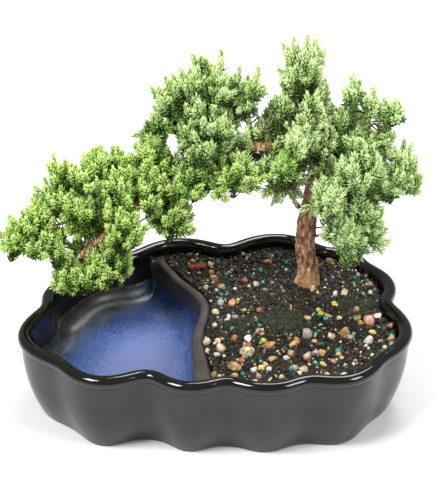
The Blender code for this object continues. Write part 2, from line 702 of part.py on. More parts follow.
def trunk_path():
    """The trunk from its buried root end, through the flare at the soil, to its tip."""
    sunk = ROOT_DEPTH / MM
    roots = ((1, 0, -sunk, 0.7 * ROOT_FLARE), (1, 0, -sunk / 2, ROOT_FLARE), (0, 0, 0, ROOT_FLARE))
    return limb_path(roots + TRUNK, 2)


def make_tree(name, grow=0.0):
    """Trunk and limbs as one grown piece."""
    points, radii = trunk_path()
    tree = tube(name, points, radii, 12, grow)
    for limb, stations in LIMBS.items():
        points, radii = limb_path(stations, 2)
        combine(tree, tube(limb, points, radii, 8 if limb == "main" else 5, grow), "UNION")
    keep_largest(tree)
    shade(tree, 50)
    return tree


def make_trunk_gauge():
    """The buried part of the trunk, a gap larger, to seat it in the soil."""
    points, radii = trunk_path()
    return tube("trunk_gauge", points[:9], radii[:9], 12, GAP, "soil")


def pad_body(name, middle, half_sizes, seed):
    """An uneven rounded cushion of foliage."""
    source = random.Random(seed)
    bm = bmesh.new()
    bmesh.ops.create_uvsphere(bm, u_segments=PAD_SEGMENTS, v_segments=PAD_RINGS, radius=1)
    turn, phase = source.uniform(0, 6), source.uniform(0, 6)
    for vert in bm.verts:
        angle = math.atan2(vert.co.y, vert.co.x)
        flat = math.hypot(vert.co.x, vert.co.y)
        size = 1 + PAD_LUMPS * flat * math.sin(3 * angle + turn) + PAD_LUMPS * math.sin(3 * vert.co.z + phase)
        vert.co = Vector(vert.co[k] * half_sizes[k] * size for k in range(3)) + middle
    bmesh.ops.triangulate(bm, faces=bm.faces)
    return bm


def cut_flat(bm, point, normal):
    """Cuts a rounded body off at a plane and closes it with a flat face."""
    geom = bm.verts[:] + bm.edges[:] + bm.faces[:]
    cut = bmesh.ops.bisect_plane(
        bm, geom=geom, dist=0.001 * MM, plane_co=point, plane_no=normal, clear_outer=True
    )
    rim = [item for item in cut["geom_cut"] if isinstance(item, bmesh.types.BMEdge)]
    if rim:
        bmesh.ops.contextual_create(bm, geom=rim)


def make_pads():
    """Foliage pads, parted by flat joints where two meet, each cleared round the limbs that carry it."""
    bodies = {}
    for name, (x, y, z, a, b, c) in PADS.items():
        middle = TREE_FOOT + Vector((x, y, z)) * MM
        bodies[name] = (middle, Vector((a, b, c)) * MM * FOLIAGE_SIZE)
    most = 1 + 2 * PAD_LUMPS
    for seed, (name, (middle, half)) in enumerate(bodies.items()):
        bm = pad_body(name, middle, half, seed)
        for other, (other_middle, other_half) in bodies.items():
            apart = other_middle - middle
            away = apart.normalized()
            reach = math.sqrt(sum((half[k] * away[k]) ** 2 for k in range(3))) * most
            other_reach = math.sqrt(sum((other_half[k] * away[k]) ** 2 for k in range(3))) * most
            if other == name or reach + other_reach < apart.length:
                continue
            share = reach / (reach + other_reach)
            cut_flat(bm, middle + apart * share - away * GAP / 2, away)
        lowest = POT_HEIGHT + GAP
        if min(vert.co.z for vert in bm.verts) < lowest:
            cut_flat(bm, Vector((0, 0, lowest)), Vector((0, 0, -1)))
        pad = solid(f"foliage_{name}", bm, "foliage")
        combine(pad, make_tree("tree_gauge", GAP), "DIFFERENCE")
        keep_largest(pad)
        shade(pad, 50)


def main():
    for old in list(bpy.data.objects):
        bpy.data.objects.remove(old)
    make_pot()
    make_drain_screen()
    make_soil(make_trunk_gauge(), make_stones())
    make_moss()
    make_bark_chip()
    make_tree("trunk_and_limbs")
    make_pads()


main()
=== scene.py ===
"""Looks of a juniper bonsai in a scalloped, black-glazed pot with a planted bed and a blue water basin.

Metres, +Z up. Lengths in the tables below are in millimetres where they say so.
"""

import math
import random

import bmesh
import bpy
import numpy as np
from mathutils import Matrix, Vector, noise
from mathutils.bvhtree import BVHTree


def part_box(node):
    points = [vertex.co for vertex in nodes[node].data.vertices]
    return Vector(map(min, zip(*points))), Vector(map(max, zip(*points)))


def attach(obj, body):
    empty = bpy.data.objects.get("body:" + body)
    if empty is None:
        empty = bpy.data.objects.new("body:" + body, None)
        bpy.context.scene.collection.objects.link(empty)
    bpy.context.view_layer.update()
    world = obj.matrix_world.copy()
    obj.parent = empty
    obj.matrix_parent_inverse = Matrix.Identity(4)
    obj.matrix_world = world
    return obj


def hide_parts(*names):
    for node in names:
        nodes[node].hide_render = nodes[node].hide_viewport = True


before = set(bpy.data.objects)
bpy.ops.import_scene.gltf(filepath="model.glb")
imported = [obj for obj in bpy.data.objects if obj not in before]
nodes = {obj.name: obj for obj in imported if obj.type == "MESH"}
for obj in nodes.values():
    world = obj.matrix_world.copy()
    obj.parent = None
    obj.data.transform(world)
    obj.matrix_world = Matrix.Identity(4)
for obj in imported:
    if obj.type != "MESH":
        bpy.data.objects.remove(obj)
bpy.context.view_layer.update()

MM = 0.001
UP = Vector((0, 0, 1))
# What each group of pieces starts its random draws from. Pads count on from theirs.
SEEDS = {"ground": 11, "moss": 23, "limb_sprays": 77, "filling": 91, "pads": 100, "gravel": 40}

# ---- Sizes -----------------------------------------------------------------------------------------

pot_low, pot_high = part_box("pot")
HALF_PLAN = np.array([pot_high.x - pot_low.x, pot_high.y - pot_low.y]) / 2
POT_HEIGHT = pot_high.z
WALL = 7 * MM
LIP_WIDTH = 8.4 * MM
LIP_HEIGHT = 8 * MM
LIP_FOOT = POT_HEIGHT - LIP_HEIGHT
LIP_OVERHANG = 2 * MM
BASE_INSET = 12.5 * MM
WALL_CURVE = 2.2  # how late the wall turns in towards the base
FOOT_EDGE = 1.6 * MM
BED_FLOOR = 7 * MM
BASIN_FLOOR = 26 * MM
BASIN_SHELL = 6 * MM
BASIN_FILLET = 10 * MM
FLOOR_FILLET = 3 * MM
HOLLOW_SHARE = 0.80  # the hollow under the basin against the basin's outline
DIVIDER_WIDTH = 6 * MM
DIVIDER_TOP = POT_HEIGHT - 8 * MM
DIVIDER_FLARE = 1.1  # extra thickness at its front end, as a share
DIVIDER_FILLET = 6 * MM  # how far it flares where it runs into the wall
DIVIDER_ROUNDING = 2.8 * MM
DRAIN_RADIUS = 7 * MM
DRAIN_PLACE = (0.42, -0.10)  # as shares of the half length and half width
GROOVE_WIDTH = 6 * MM
GROOVE_DEPTH = 2 * MM

# Each lobe of the rim: the notch it starts from, as shares of the half length and half width, and its
# swell in millimetres.
LOBES = (
    (-0.79, -0.71, 15),
    (-0.33, -0.84, 11),
    (0.06, -0.92, 9),
    (0.46, -0.90, 12),
    (0.85, -0.66, 15),
    (0.92, 0.05, 10),
    (0.84, 0.56, 8),
    (0.62, 0.78, 18),
    (0.06, 0.81, 15),
    (-0.47, 0.71, 9),
    (-0.84, 0.34, 5),
    (-0.90, 0.00, 19),
)
NOTCH_EASING = 5 * MM
RIM_POINTS = 420
# The divider's middle line from back to front, as shares of the half length and half width.
DIVIDER_LINE = ((-0.34, 0.84), (-0.21, 0.50), (-0.06, 0.16), (-0.09, -0.28), (-0.07, -0.60), (-0.02, -1.05))

# Where the blue glaze of the basin ends, in millimetres on the basin's floor, and its palest spot.
BLUE_LIMIT = (
    (-100, -34), (-93, -17), (-88, -6), (-82, 6), (-74, 23), (-62, 34), (-49, 44), (-40, 63),
    (-34, 69), (-25, 60), (-20, 44), (-10, 34), (-6, 0), (-6, -40), (-6, -100), (-60, -100),
)
PALE_SPOT = (-42, -30)
PALE_REACH = 34
BLUE_LIMIT_POINTS = 200

# The trunk's bark is palest at the foot of the root flare and plain above its top.
FLARE_FOOT = 52 * MM
FLARE_TOP = 66 * MM
# The trunk itself lies below this height and to the right of this place. The rest is limbs.
LIMBS_FROM = 110 * MM
TRUNK_SIDE = 45 * MM

SOIL_CUT = 41 * MM  # the soil's surface piece ends here, below where the walls hide it
LOWEST_SOIL = 44 * MM  # nothing is scattered on soil that lies lower
DROP_HEIGHT = POT_HEIGHT + 20 * MM  # where loose things are dropped from

# ---- Colours (sRGB) --------------------------------------------------------------------------------

# Green of each kind of spray, from its old inner needles, whose darkness is partly painted shade, to its new
# tips. "deep" is a darker copy of "fresh" for sprays that lie low and inside the tree: painted shade.
GREENS = {
    "fresh": ("#304616", "#84ac44", "#b6da6a", "#d6f092"),
    "crown": ("#3c5224", "#98bc66", "#c2de8c", "#dcf0b0"),
    "cool": ("#42602f", "#a2cc74", "#cdea98", "#def4b2"),
    "deep": ("#243616", "#648f36", "#9cc65c", "#ccec8a"),
}
TWIG_BROWN = "#5a3a22"
# Black glazes: shades of the thin glaze, the height above which it pools, and how much duller it is. The
# divider's is brushed on thin and pools nowhere.
BLACK_GLAZES = {
    "poured_black_glaze": (("#100d0c", "#1e1918", "#2a211d"), 48.5 * MM, 0.0),
    "brushed_black_glaze": (("#3a3535", "#534d4b", "#68605d"), POT_HEIGHT + 14 * MM, 0.06),
}
# Shades of each kind of weathered river stone, which is satin and softly mottled.
STONE_COLOURS = {
    "cream": ("#8d7a58", "#d8c7a0", "#efe4c8"),
    "white": ("#a7a198", "#e4e0d8", "#f6f3ee"),
    "grey": ("#6f6a68", "#a8a09e", "#cfc6c4"),
    "orange": ("#8a5a30", "#d29a62", "#e8c8a0"),
    "tan": ("#6f5538", "#b8946a", "#d8bd95"),
    "pink": ("#8a5f4c", "#cf9f86", "#e6cbb8"),
    "yellow": ("#94823c", "#d8c45e", "#f0e39a"),
    "rust": ("#5c3222", "#9a5c40", "#c08a6a"),
    "dark": ("#1c1916", "#38332d", "#585045"),
}
# What lies on the soil besides stones: the stuff, its shades, the size of its mottling in millimetres,
# its roughness and, where they aren't the usual ones, how strong its relief is and how high.
STUFFS = {
    # Damp, nearly black crumbs with a faint gloss.
    "peat": ("damp_peat", ("#0a0a07", "#191812", "#302b1e"), 3, 0.5),
    # Dull brown flakes of rotted bark.
    "bark_crumb": ("composted_bark", ("#24140c", "#4a2c1c", "#6e4a34"), 3, 0.7),
    # Pale grains of expanded glass and washed sand, which sparkle against the peat.
    "pale_crumb": ("perlite_and_sand", ("#8c8672", "#c8c4b0", "#efece0"), 2, 0.5),
    # Half-dry moss: a dull grey-green mat, and paler blades that stand up from it.
    "moss": ("dry_moss", ("#16170f", "#2e3226", "#545942"), 4, 0.8),
    "moss_blade": ("moss_blades", ("#22271a", "#474d34", "#727858"), 3, 0.7),
    # Dry fibres, dull and straw-brown.
    "rootlet": ("rootlets", ("#3a2c1e", "#6b5640", "#8f7a5c"), 4, 0.8),
    # Resin-coated beads: smooth and glossy, with paler worn patches.
    "teal_bead": ("teal_fertiliser_coat", ("#14564a", "#2c8a76", "#7cc8b4"), 1.6, 0.25, 0.1),
    "yellow_bead": ("yellow_fertiliser_coat", ("#8c962c", "#bcc050", "#e4dc84"), 1.6, 0.25, 0.1),
    # Pine bark: dull red-brown plates with raised ridges.
    "bark_chip": ("pine_bark_chip", ("#4a160e", "#7c2a1a", "#9c4a30"), 3, 0.75, 0.6),
}
# The kind of stone that each of the larger stones is.
STONE_FINISH = {
    "cream_block": "cream", "white_flake": "white", "grey_pebble": "pink", "long_cream": "orange",
    "white_quartz": "grey", "orange_pebble": "orange", "tan_upright": "tan", "cream_pebble": "cream",
    "white_round": "white", "pink_block": "pink", "peach_pebble": "orange", "yellow_flat": "yellow",
    "back_cream": "cream", "tan_corner": "tan", "grey_front": "grey", "yellow_front": "yellow",
    "left_grey": "grey", "left_tan": "tan", "back_tan": "tan", "rust_pebble": "rust",
}

# ---- What lies on the soil ---------------------------------------------------------------------------

# Crumbs: name, how many, smallest and largest half size in millimetres, stuff and slot.
CRUMBS = (
    ("soil_crumbs", 4200, (0.4, 1.5), "peat", "soil"),
    ("bark_crumbs", 420, (0.5, 2.0), "bark_crumb", "soil"),
    ("pale_crumbs", 620, (0.3, 0.9), "pale_crumb", "soil"),
    ("moss_crumbs", 2200, (0.4, 1.5), "moss", "moss"),
)
# How many small pebbles there are of each kind of stone.
GRAVEL = {
    "cream": 54, "white": 30, "grey": 40, "orange": 38, "tan": 60,
    "pink": 20, "yellow": 14, "rust": 18, "dark": 70,
}
PEBBLE_SHAPES = 3  # different shapes in each kind of gravel
SPARSE_GRAVEL = 0.35  # share of gravel kept round the trunk
ROOTLETS = 420
MOSS_BLADES = 1500

# Fertiliser beads: their places in millimetres, and how many more lie about.
TEAL_BEADS = (
    (19, 75), (29, 49), (46, 58), (30, 34), (5, 28), (3, -10), (27, -16), (68, -8), (63, -21), (61, -2),
    (86, -6), (49, -30), (64, -36), (59, -56), (88, 33), (101, 26), (83, -28), (16, -68), (27, -54),
)
YELLOW_BEADS = ((16, -16), (18, 1), (63, -56), (29, -32), (64, 1))
BEADS = (("teal", TEAL_BEADS, 14), ("yellow", YELLOW_BEADS, 3))
BEAD_RADIUS = (1.1, 2.1)  # smallest and largest, in millimetres

# ---- Foliage ---------------------------------------------------------------------------------------

# Each pad's kind of green, how light it is against the others, and how open its needles stand. The low pads
# round the trunk and under the limbs are made lighter to cancel the shade they lie in: painted light.
PAD_LOOK = {
    "crown_tip": ("crown", 0.10, 0.0), "crown_core": ("crown", 0.04, 0.0),
    "crown_back": ("crown", -0.05, 0.0), "crown_left": ("crown", -0.05, 0.2),
    "shoulder_right": ("crown", 0.0, 0.0), "right_top": ("cool", 0.08, 0.0),
    "right_tip": ("cool", 0.12, 0.0), "right_core": ("cool", 0.13, 0.2),
    "right_back": ("cool", 0.06, 0.1), "right_low": ("cool", 0.20, 0.4),
    "right_skirt": ("cool", 0.20, 0.9), "trunk_front": ("cool", 0.16, 0.3),
    "inner_left": ("crown", 0.13, 0.5), "limb_under": ("fresh", 0.15, 0.1),
    "limb_top": ("crown", -0.04, 0.0), "mid_crown": ("crown", -0.04, 0.0),
    "mid_left": ("crown", -0.04, 0.0), "mid_front": ("crown", -0.06, 0.0),
    "mid_back": ("crown", -0.05, 0.0), "mid_low": ("deep", 0.0, 0.7),
    "link": ("deep", 0.06, 0.2), "cascade_top": ("fresh", 0.0, 0.0),
    "cascade_mid": ("fresh", 0.0, 0.0), "cascade_left": ("fresh", 0.05, 0.0),
    "cascade_tip": ("fresh", 0.0, 0.1), "cascade_front": ("fresh", 0.05, 0.0),
    "cascade_heel": ("fresh", 0.06, 0.2), "hang_right": ("fresh", 0.08, 0.1),
    "hang_left": ("fresh", 0.08, 0.1),
}
# Clearings where a limb or the sky shows between the sprays: middle, radius and how far it reaches to
# either side of the middle along the view from the front, in millimetres.
CLEARINGS = (
    (-76, 1, 94, 9, 0), (-67, 3, 100, 7, 0), (30, 20, 161, 9, 0), (26, 24, 172, 8, 0),
    (34, 33, 207, 9, 25), (32, 34, 191, 7, 25), (30, 33, 177, 5, 20), (9, 34, 185, 3, 25),
    (9, 34, 195, 3, 25), (57, 14, 136, 5, 0), (58, 12, 124, 6, 0), (72, 30, 186, 4, 30),
    (90, 26, 134, 3, 30), (106, 28, 134, 4, 30), (106, 26, 108, 5, 30), (98, 30, 160, 3, 30),
)
FRONT_VIEW = (0, 0.866, -0.5)  # the way one looks from the front
# Sprays straight off the limbs: kind of green, how many, the stretch they grow on in millimetres across
# and in height, and how light they are.
LIMB_SPRAYS = (
    ("fresh", 70, ((-95, -12), (60, 190)), 0.04),
    ("crown", 60, ((-12, 34), (140, 200)), 0.0),
    ("crown", 45, ((34, 75), (148, 215)), 0.0),
    ("cool", 50, ((66, 120), (100, 190)), 0.0),
)
# Sprays that fill out the outline between the pads: kind of green, how many, middle and radius in
# millimetres, and how light they are.
FILLING = (
    ("fresh", 12, (-99, 13, 92), 10, 0.05),
    ("fresh", 12, (-105, 17, 114), 9, 0.03),
    ("fresh", 7, (-124, 13, 96), 7, 0.05),
    ("fresh", 10, (-74, 22, 143), 9, 0.0),
    ("crown", 14, (49, 15, 163), 9, 0.0),
    ("deep", 11, (43, 16, 145), 8, 0.0),
    ("fresh", 10, (-42, 28, 148), 8, 0.0),
    ("cool", 12, (103, 30, 128), 10, 0.05),
    ("cool", 3, (82, 32, 192), 3, 0.05),
    ("cool", 3, (94, 31, 185), 3, 0.05),
    ("cool", 3, (107, 30, 178), 3, 0.05),
    ("cool", 12, (77, 15, 105), 9, 0.14),
    ("cool", 9, (83, 13, 98), 7, 0.14),
)
LIMB_OPENNESS = 0.15
FILLING_OPENNESS = 0.1
SPEAR_LIKE = ("crown", "cool")  # greens whose sprays are long and pointed
SKIRT_LEAN = (0.8, -0.3, -0.35)  # the way the lowest right pad's sprays spread
LONGEST_TWIG = 9 * MM  # sprays that start farther from the bark share a branch
TIP_SPACING = 12.4 * MM  # between spray tips on a pad
PAD_REACH = 45 * MM  # pads with their middles this near may join
# A pad's outer and inner layer of sprays: how far out their tips lie, as shares of the way to the pad's
# surface, and how many there are against the outer layer.
LAYERS = (((0.86, 1.12), 1.0), ((0.50, 0.80), 0.6))
# Painted shade: the inner layer's sprays are darkened as though the outer layer shaded them, partly also the
# older growth inside a pad.
INNER_PAINTED_SHADE = 0.20  # how much darker the inner layer is
MAIN_WHORLS = 15  # of needles on a main shoot
MAIN_LENGTH = (15, 24)  # of main shoots, in millimetres
SIDE_WHORLS = 8  # on a side shoot
SIDE_SHOOTS = 2  # on each main shoot
SIDE_FEET = (4, 9)  # the whorls of a main shoot that side shoots leave from
SIDE_LENGTH = (7.5, 12.0)  # of side shoots, in millimetres
# How far shoots turn up towards the light, by how high their way out of the pad points, and how long
# they are, by how much they rise.
LIFT = ((-0.9, -0.3, 0.4), (0.25, 0.62, 0.86))
RISE_LENGTH = ((-0.4, 0.3), (0.5, 1.0))
NEEDLES_EACH = 3  # in a whorl
NEEDLE_LENGTH = (4.6 * MM, 3.5 * MM)  # at a spray's foot and at its tip
NEEDLE_WIDTH = (0.92, 1.18)  # narrowest and widest, in millimetres
NEEDLE_THICKNESS = 0.6  # share of its width
NEEDLE_SPREAD = (52, 30)  # degrees from the stem, at the foot and at the tip
OPEN_SPREAD = 14  # degrees more where needles stand open
BUD_CLOSING = 16  # degrees less in the bud at a shoot's tip
# Places on the map of old to new growth. The dark, old end is partly the needles' age and partly painted
# shade between and inside the shoots.
TWIG_SHADE = 0.02
STEM_SHADE = 0.16
OLDEST_AND_SHADED_NEEDLE = 0.08
YOUNGEST_NEEDLE = 0.88

# ---- Studio ------------------------------------------------------------------------------------------

# Soft boxes: name, place and side in metres, and power in watts.
SOFT_BOXES = (
    ("key", (-0.60, -0.45, 1.10), 0.45, 14.0),
    ("fill", (0.85, -0.55, 0.85), 0.45, 8.0),
    ("back", (0.25, 0.65, 1.20), 0.60, 10.0),
)
LIT_PLACE = Vector((0, 0, 0.06))
CAMERA_PLACE = Vector((1.2, -873.5, 600.2)) * MM
CAMERA_TILT = 60  # degrees up from straight down
CAMERA_LENS = 120.7


# ---- Plane curves ----------------------------------------------------------------------------------


def unit(vectors):
    """Vectors scaled to length one."""
    return vectors / np.linalg.norm(vectors, axis=-1, keepdims=True)


def smoothed(points, passes):
    """A closed chain of points eased by repeated averaging with its neighbours."""
    for _ in range(passes):
        points = 0.5 * points + 0.25 * (np.roll(points, 1, axis=0) + np.roll(points, -1, axis=0))
    return points


def respaced(points, count, closed=True):
    """Count points at equal steps along the chain."""
    chain = np.vstack([points, points[:1]]) if closed else points
    along = np.concatenate([[0.0], np.cumsum(np.linalg.norm(np.diff(chain, axis=0), axis=1))])
    steps = np.linspace(0.0, along[-1], count + 1)[:-1] if closed else np.linspace(0.0, along[-1], count)
    return np.column_stack([np.interp(steps, along, chain[:, axis]) for axis in range(chain.shape[1])])


def side_normals(points, closed=True):
    """Unit normals to the right of the way along a flat chain: outwards on an anticlockwise loop."""
    if closed:
        ahead = np.roll(points, -1, axis=0) - np.roll(points, 1, axis=0)
    else:
        ahead = np.gradient(points, axis=0)
    return unit(np.column_stack([ahead[:, 1], -ahead[:, 0]]))


def inset(loop, distance):
    """The loop moved inwards by a distance."""
    return loop - side_normals(loop) * distance


def scaled_about_middle(loop, share):
    """The loop scaled about the middle of its points."""
    middle = loop.mean(axis=0)
    return middle + (loop - middle) * share


def distance_to(loop, points):
    """How far each point is from the nearest stretch of a closed loop."""
    run = np.roll(loop, -1, axis=0) - loop
    offset = points[:, None, :] - loop[None, :, :]
    share = np.clip((offset * run).sum(-1) / (run * run).sum(-1), 0.0, 1.0)
    return np.linalg.norm(offset - share[..., None] * run, axis=-1).min(axis=1)


def is_inside(loop, points):
    """Whether each point lies inside a closed loop."""
    ends = np.roll(loop, -1, axis=0)
    x, y = points[:, 0][:, None], points[:, 1][:, None]
    spans = (loop[:, 1] > y) != (ends[:, 1] > y)
    rise = np.where(ends[:, 1] == loop[:, 1], 1e-12, ends[:, 1] - loop[:, 1])
    hits = spans & (x < (ends[:, 0] - loop[:, 0]) * (y - loop[:, 1]) / rise + loop[:, 0])
    return hits.sum(axis=1) % 2 == 1


def crossings(loop, line):
    """Where an open line crosses a closed loop: (line position, loop position, point) in line order."""
    ends = np.roll(loop, -1, axis=0)
    across = ends - loop
    found = []
    for i, (a, b) in enumerate(zip(line[:-1], line[1:])):
        along = b - a
        turn = along[0] * across[:, 1] - along[1] * across[:, 0]
        turn = np.where(np.abs(turn) < 1e-15, 1e-15, turn)
        gap = loop - a
        s = (gap[:, 0] * across[:, 1] - gap[:, 1] * across[:, 0]) / turn
        t = (gap[:, 0] * along[1] - gap[:, 1] * along[0]) / turn
        for j in np.flatnonzero((s >= 0) & (s < 1) & (t >= 0) & (t < 1)):
            found.append((i + s[j], j + t[j], a + s[j] * along))
    return sorted(found, key=lambda crossing: crossing[0])


def curve_through(points, count):
    """Points on a smooth curve through the given points (Catmull-Rom)."""
    points = np.array(points, float)
    chain = np.vstack([2 * points[0] - points[1], points, 2 * points[-1] - points[-2]])
    spots = np.linspace(0, len(points) - 1, count)
    first = np.minimum(spots.astype(int), len(points) - 2)
    t = (spots - first)[:, None]
    p0, p1, p2, p3 = (chain[first + k] for k in range(4))
    square = 2 * p0 - 5 * p1 + 4 * p2 - p3
    cube = 3 * p1 - p0 - 3 * p2 + p3
    return 0.5 * (2 * p1 + (p2 - p0) * t + square * t**2 + cube * t**3)


def at_height(loop, height):
    """A flat loop as 3-D points at one height, or at one height per point."""
    return np.column_stack([loop, np.broadcast_to(height, len(loop))])


# ---- Meshes ----------------------------------------------------------------------------------------


def piece(name, source, finish, slot=None, replaces=(), smooth=True):
    """A finished piece of the tree or pot from a bmesh or a mesh."""
    if isinstance(source, bmesh.types.BMesh):
        mesh = bpy.data.meshes.new(name)
        source.to_mesh(mesh)
        source.free()
    else:
        mesh = source
        mesh.name = name
    if smooth:
        mesh.shade_smooth()
    made = bpy.data.objects.new(name, mesh)
    bpy.context.scene.collection.objects.link(made)
    made.data.materials.clear()
    made.data.materials.append(finish)
    if slot:
        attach(made, "root")
        for node in replaces:
            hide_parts(node)
    return made


def skin(rings):
    """A closed bmesh drawn through rings of points: each ring is extruded from the last one and moved in
    place, and the first and last are filled."""
    bm = bmesh.new()
    order = bm.verts.layers.int.new("order")
    ring = [bm.verts.new(point) for point in rings[0]]
    for step, vert in enumerate(ring):
        vert[order] = step
    edges = [bm.edges.new(pair) for pair in zip(ring, ring[1:] + ring[:1])]
    bm.faces.new(ring[::-1])
    for points in rings[1:]:
        grown = bmesh.ops.extrude_edge_only(bm, edges=edges)["geom"]
        edges = [item for item in grown if isinstance(item, bmesh.types.BMEdge)]
        for item in grown:
            if isinstance(item, bmesh.types.BMVert):
                item.co = points[item[order]]
    bmesh.ops.contextual_create(bm, geom=edges)
    bmesh.ops.recalc_face_normals(bm, faces=bm.faces)
    return bm


def evaluated(made):
    """A piece's mesh with its modifiers applied."""
    graph = bpy.context.evaluated_depsgraph_get()
    return bpy.data.meshes.new_from_object(made.evaluated_get(graph))


def cut_away(target, tool_bm):
    """Takes the tool's shape out of a piece."""
    tool = piece("tool", tool_bm, target.data.materials[0])
    change = target.modifiers.new("cut", "BOOLEAN")
    change.operation = "DIFFERENCE"
    change.solver = "MANIFOLD"
    change.object = tool
    target.data = evaluated(target)
    target.modifiers.clear()
    bpy.data.objects.remove(tool)


def cad_copy(node, voxel=None):
    """A welded copy of a CAD node's mesh, rebuilt from even quads when a voxel size is given."""
    bm = bmesh.new()
    bm.from_mesh(nodes[node].data)
    bmesh.ops.remove_doubles(bm, verts=bm.verts, dist=0.01 * MM)
    if voxel is None:
        return bm
    mesh = bpy.data.meshes.new("copy")
    bm.to_mesh(mesh)
    bm.free()
    holder = bpy.data.objects.new("copy", mesh)
    bpy.context.scene.collection.objects.link(holder)
    change = holder.modifiers.new("even", "REMESH")
    change.mode = "VOXEL"
    change.voxel_size = voxel
    even = evaluated(holder)
    bpy.data.objects.remove(holder)
    bm = bmesh.new()
    bm.from_mesh(even)
    return bm


def shape_arrays(bm):
    """A small shape's points and triangles, for stamping."""
    bmesh.ops.recalc_face_normals(bm, faces=bm.faces)
    bmesh.ops.triangulate(bm, faces=bm.faces)
    bm.verts.index_update()
    points = np.array([vert.co for vert in bm.verts])
    faces = np.array([[vert.index for vert in face.verts] for face in bm.faces])
    bm.free()
    return points, faces


def stamped(shape, axes, places):
    """Points and triangles of many copies of a shape: axes are N x 3 x 3 with the axes in rows."""
    points, faces = shape
    all_points = np.einsum("vk,nkc->nvc", points, axes) + places[:, None, :]
    all_faces = faces[None] + (np.arange(len(places)) * len(points))[:, None, None]
    return all_points.reshape(-1, 3), all_faces.reshape(-1, 3)


def mesh_from(points, faces, uv=None):
    """A mesh from arrays of points and triangles, with one UV per point when given."""
    mesh = bpy.data.meshes.new("stamped")
    mesh.from_pydata(points, [], faces)
    if uv is not None:
        layer = mesh.uv_layers.new(name="OFBake")
        layer.data.foreach_set("uv", uv[faces.ravel()].astype(np.float32).ravel())
    mesh.update()
    return mesh


def random_axes(source, count, sizes):
    """Random turns of a shape, with its three axes scaled by sizes (N x 3)."""
    first = source.normal(size=(count, 3))
    second = source.normal(size=(count, 3))
    first = unit(first)
    third = unit(np.cross(first, second))
    second = np.cross(third, first)
    return np.stack([first, second, third], axis=1) * sizes[:, :, None]


# ---- Finishes --------------------------------------------------------------------------------------


def linear(colour):
    """An sRGB hex colour as linear RGBA."""
    parts = [int(colour[k : k + 2], 16) / 255 for k in (1, 3, 5)]
    return (*[part / 12.92 if part <= 0.04045 else ((part + 0.055) / 1.055) ** 2.4 for part in parts], 1.0)


def per(size):
    """Texture scale whose features are that many millimetres."""
    return 1 / (size * MM)


def add(tree, kind, links=(), stops=(), **settings):
    """Adds a shader node with its settings, its ramp stops, and its inputs as sockets or values."""
    made = tree.nodes.new(kind)
    for name, value in settings.items():
        setattr(made, name, value)
    for index, (place, colour) in enumerate(stops):
        elements = made.color_ramp.elements
        element = elements[index] if index < 2 else elements.new(place)
        element.position = place
        element.color = linear(colour)
    for name, value in dict(links).items():
        if isinstance(value, bpy.types.NodeSocket):
            tree.links.new(value, made.inputs[name])
        else:
            made.inputs[name].default_value = value
    return made


def finish(name, **numbers):
    """A new Principled material and its tree, shader and Object coordinates."""
    made = bpy.data.materials.new(name)
    made.use_nodes = True
    tree = made.node_tree
    shader = tree.nodes["Principled BSDF"]
    for socket, value in numbers.items():
        shader.inputs[socket.replace("_", " ")].default_value = value
    place = add(tree, "ShaderNodeTexCoord").outputs["Object"]
    return made, tree, shader, place


def black_glaze(name, colours, thick_from, softness):
    """Stoneware with a poured black glaze: thick, black and mirror-like on the lip, where it pools, and
    thinner, browner and a little softer on the wall below, with a wavy edge where the thick part ends. It
    has faint clouds, drips 13 mm apart, pinholes of about 1 mm and an orange-peel surface."""
    made, tree, shader, place = finish(name, IOR=1.55)
    tall = add(tree, "ShaderNodeMapping", {"Vector": place, "Scale": (1, 1, 0.3)}).outputs["Vector"]
    cloud = {"Vector": tall, "Scale": per(16), "Detail": 6, "Roughness": 0.6}
    cloud = add(tree, "ShaderNodeTexNoise", cloud).outputs["Fac"]
    drip = {"Vector": place, "Scale": per(13), "Detail": 1}
    drip = add(tree, "ShaderNodeTexNoise", drip).outputs["Fac"]
    height = add(tree, "ShaderNodeSeparateXYZ", {"Vector": place}).outputs["Z"]
    level = {0: drip, 1: 6 * MM, 2: height}
    level = add(tree, "ShaderNodeMath", level, operation="MULTIPLY_ADD").outputs[0]
    pooled = {"Value": level, "From Min": thick_from, "From Max": thick_from + 3 * MM}
    pooled = add(tree, "ShaderNodeMapRange", pooled, interpolation_type="SMOOTHSTEP").outputs["Result"]
    shades = tuple(zip((0.32, 0.62, 0.74), colours))
    thin = add(tree, "ShaderNodeValToRGB", {"Fac": cloud}, stops=shades).outputs["Color"]
    specks = {"Vector": place, "Scale": per(1.1), "Detail": 2}
    specks = add(tree, "ShaderNodeTexNoise", specks).outputs["Fac"]
    specks = {"Value": specks, "From Min": 0.66, "From Max": 0.72, "To Max": 0.6}
    specks = add(tree, "ShaderNodeMapRange", specks).outputs["Result"]
    wall = {"Factor": specks, 6: thin, 7: linear("#161311")}
    wall = add(tree, "ShaderNodeMix", wall, data_type="RGBA").outputs[2]
    colour = {"Factor": pooled, 6: wall, 7: linear("#0d0b0a")}
    colour = add(tree, "ShaderNodeMix", colour, data_type="RGBA").outputs[2]
    tree.links.new(colour, shader.inputs["Base Color"])
    smoothest, roughest = 0.16 + softness, 0.30 + softness
    body = {"Value": cloud, "From Min": 0.3, "From Max": 0.7, "To Min": smoothest, "To Max": roughest}
    body = add(tree, "ShaderNodeMapRange", body).outputs["Result"]
    rough = add(tree, "ShaderNodeMix", {"Factor": pooled, 2: body, 3: 0.06}).outputs[0]
    tree.links.new(rough, shader.inputs["Roughness"])
    peel = add(tree, "ShaderNodeTexNoise", {"Vector": place, "Scale": per(7), "Detail": 3}).outputs["Fac"]
    bump = add(tree, "ShaderNodeBump", {"Height": peel, "Strength": 0.35, "Distance": 0.4 * MM})
    tree.links.new(bump.outputs["Normal"], shader.inputs["Normal"])
    return made


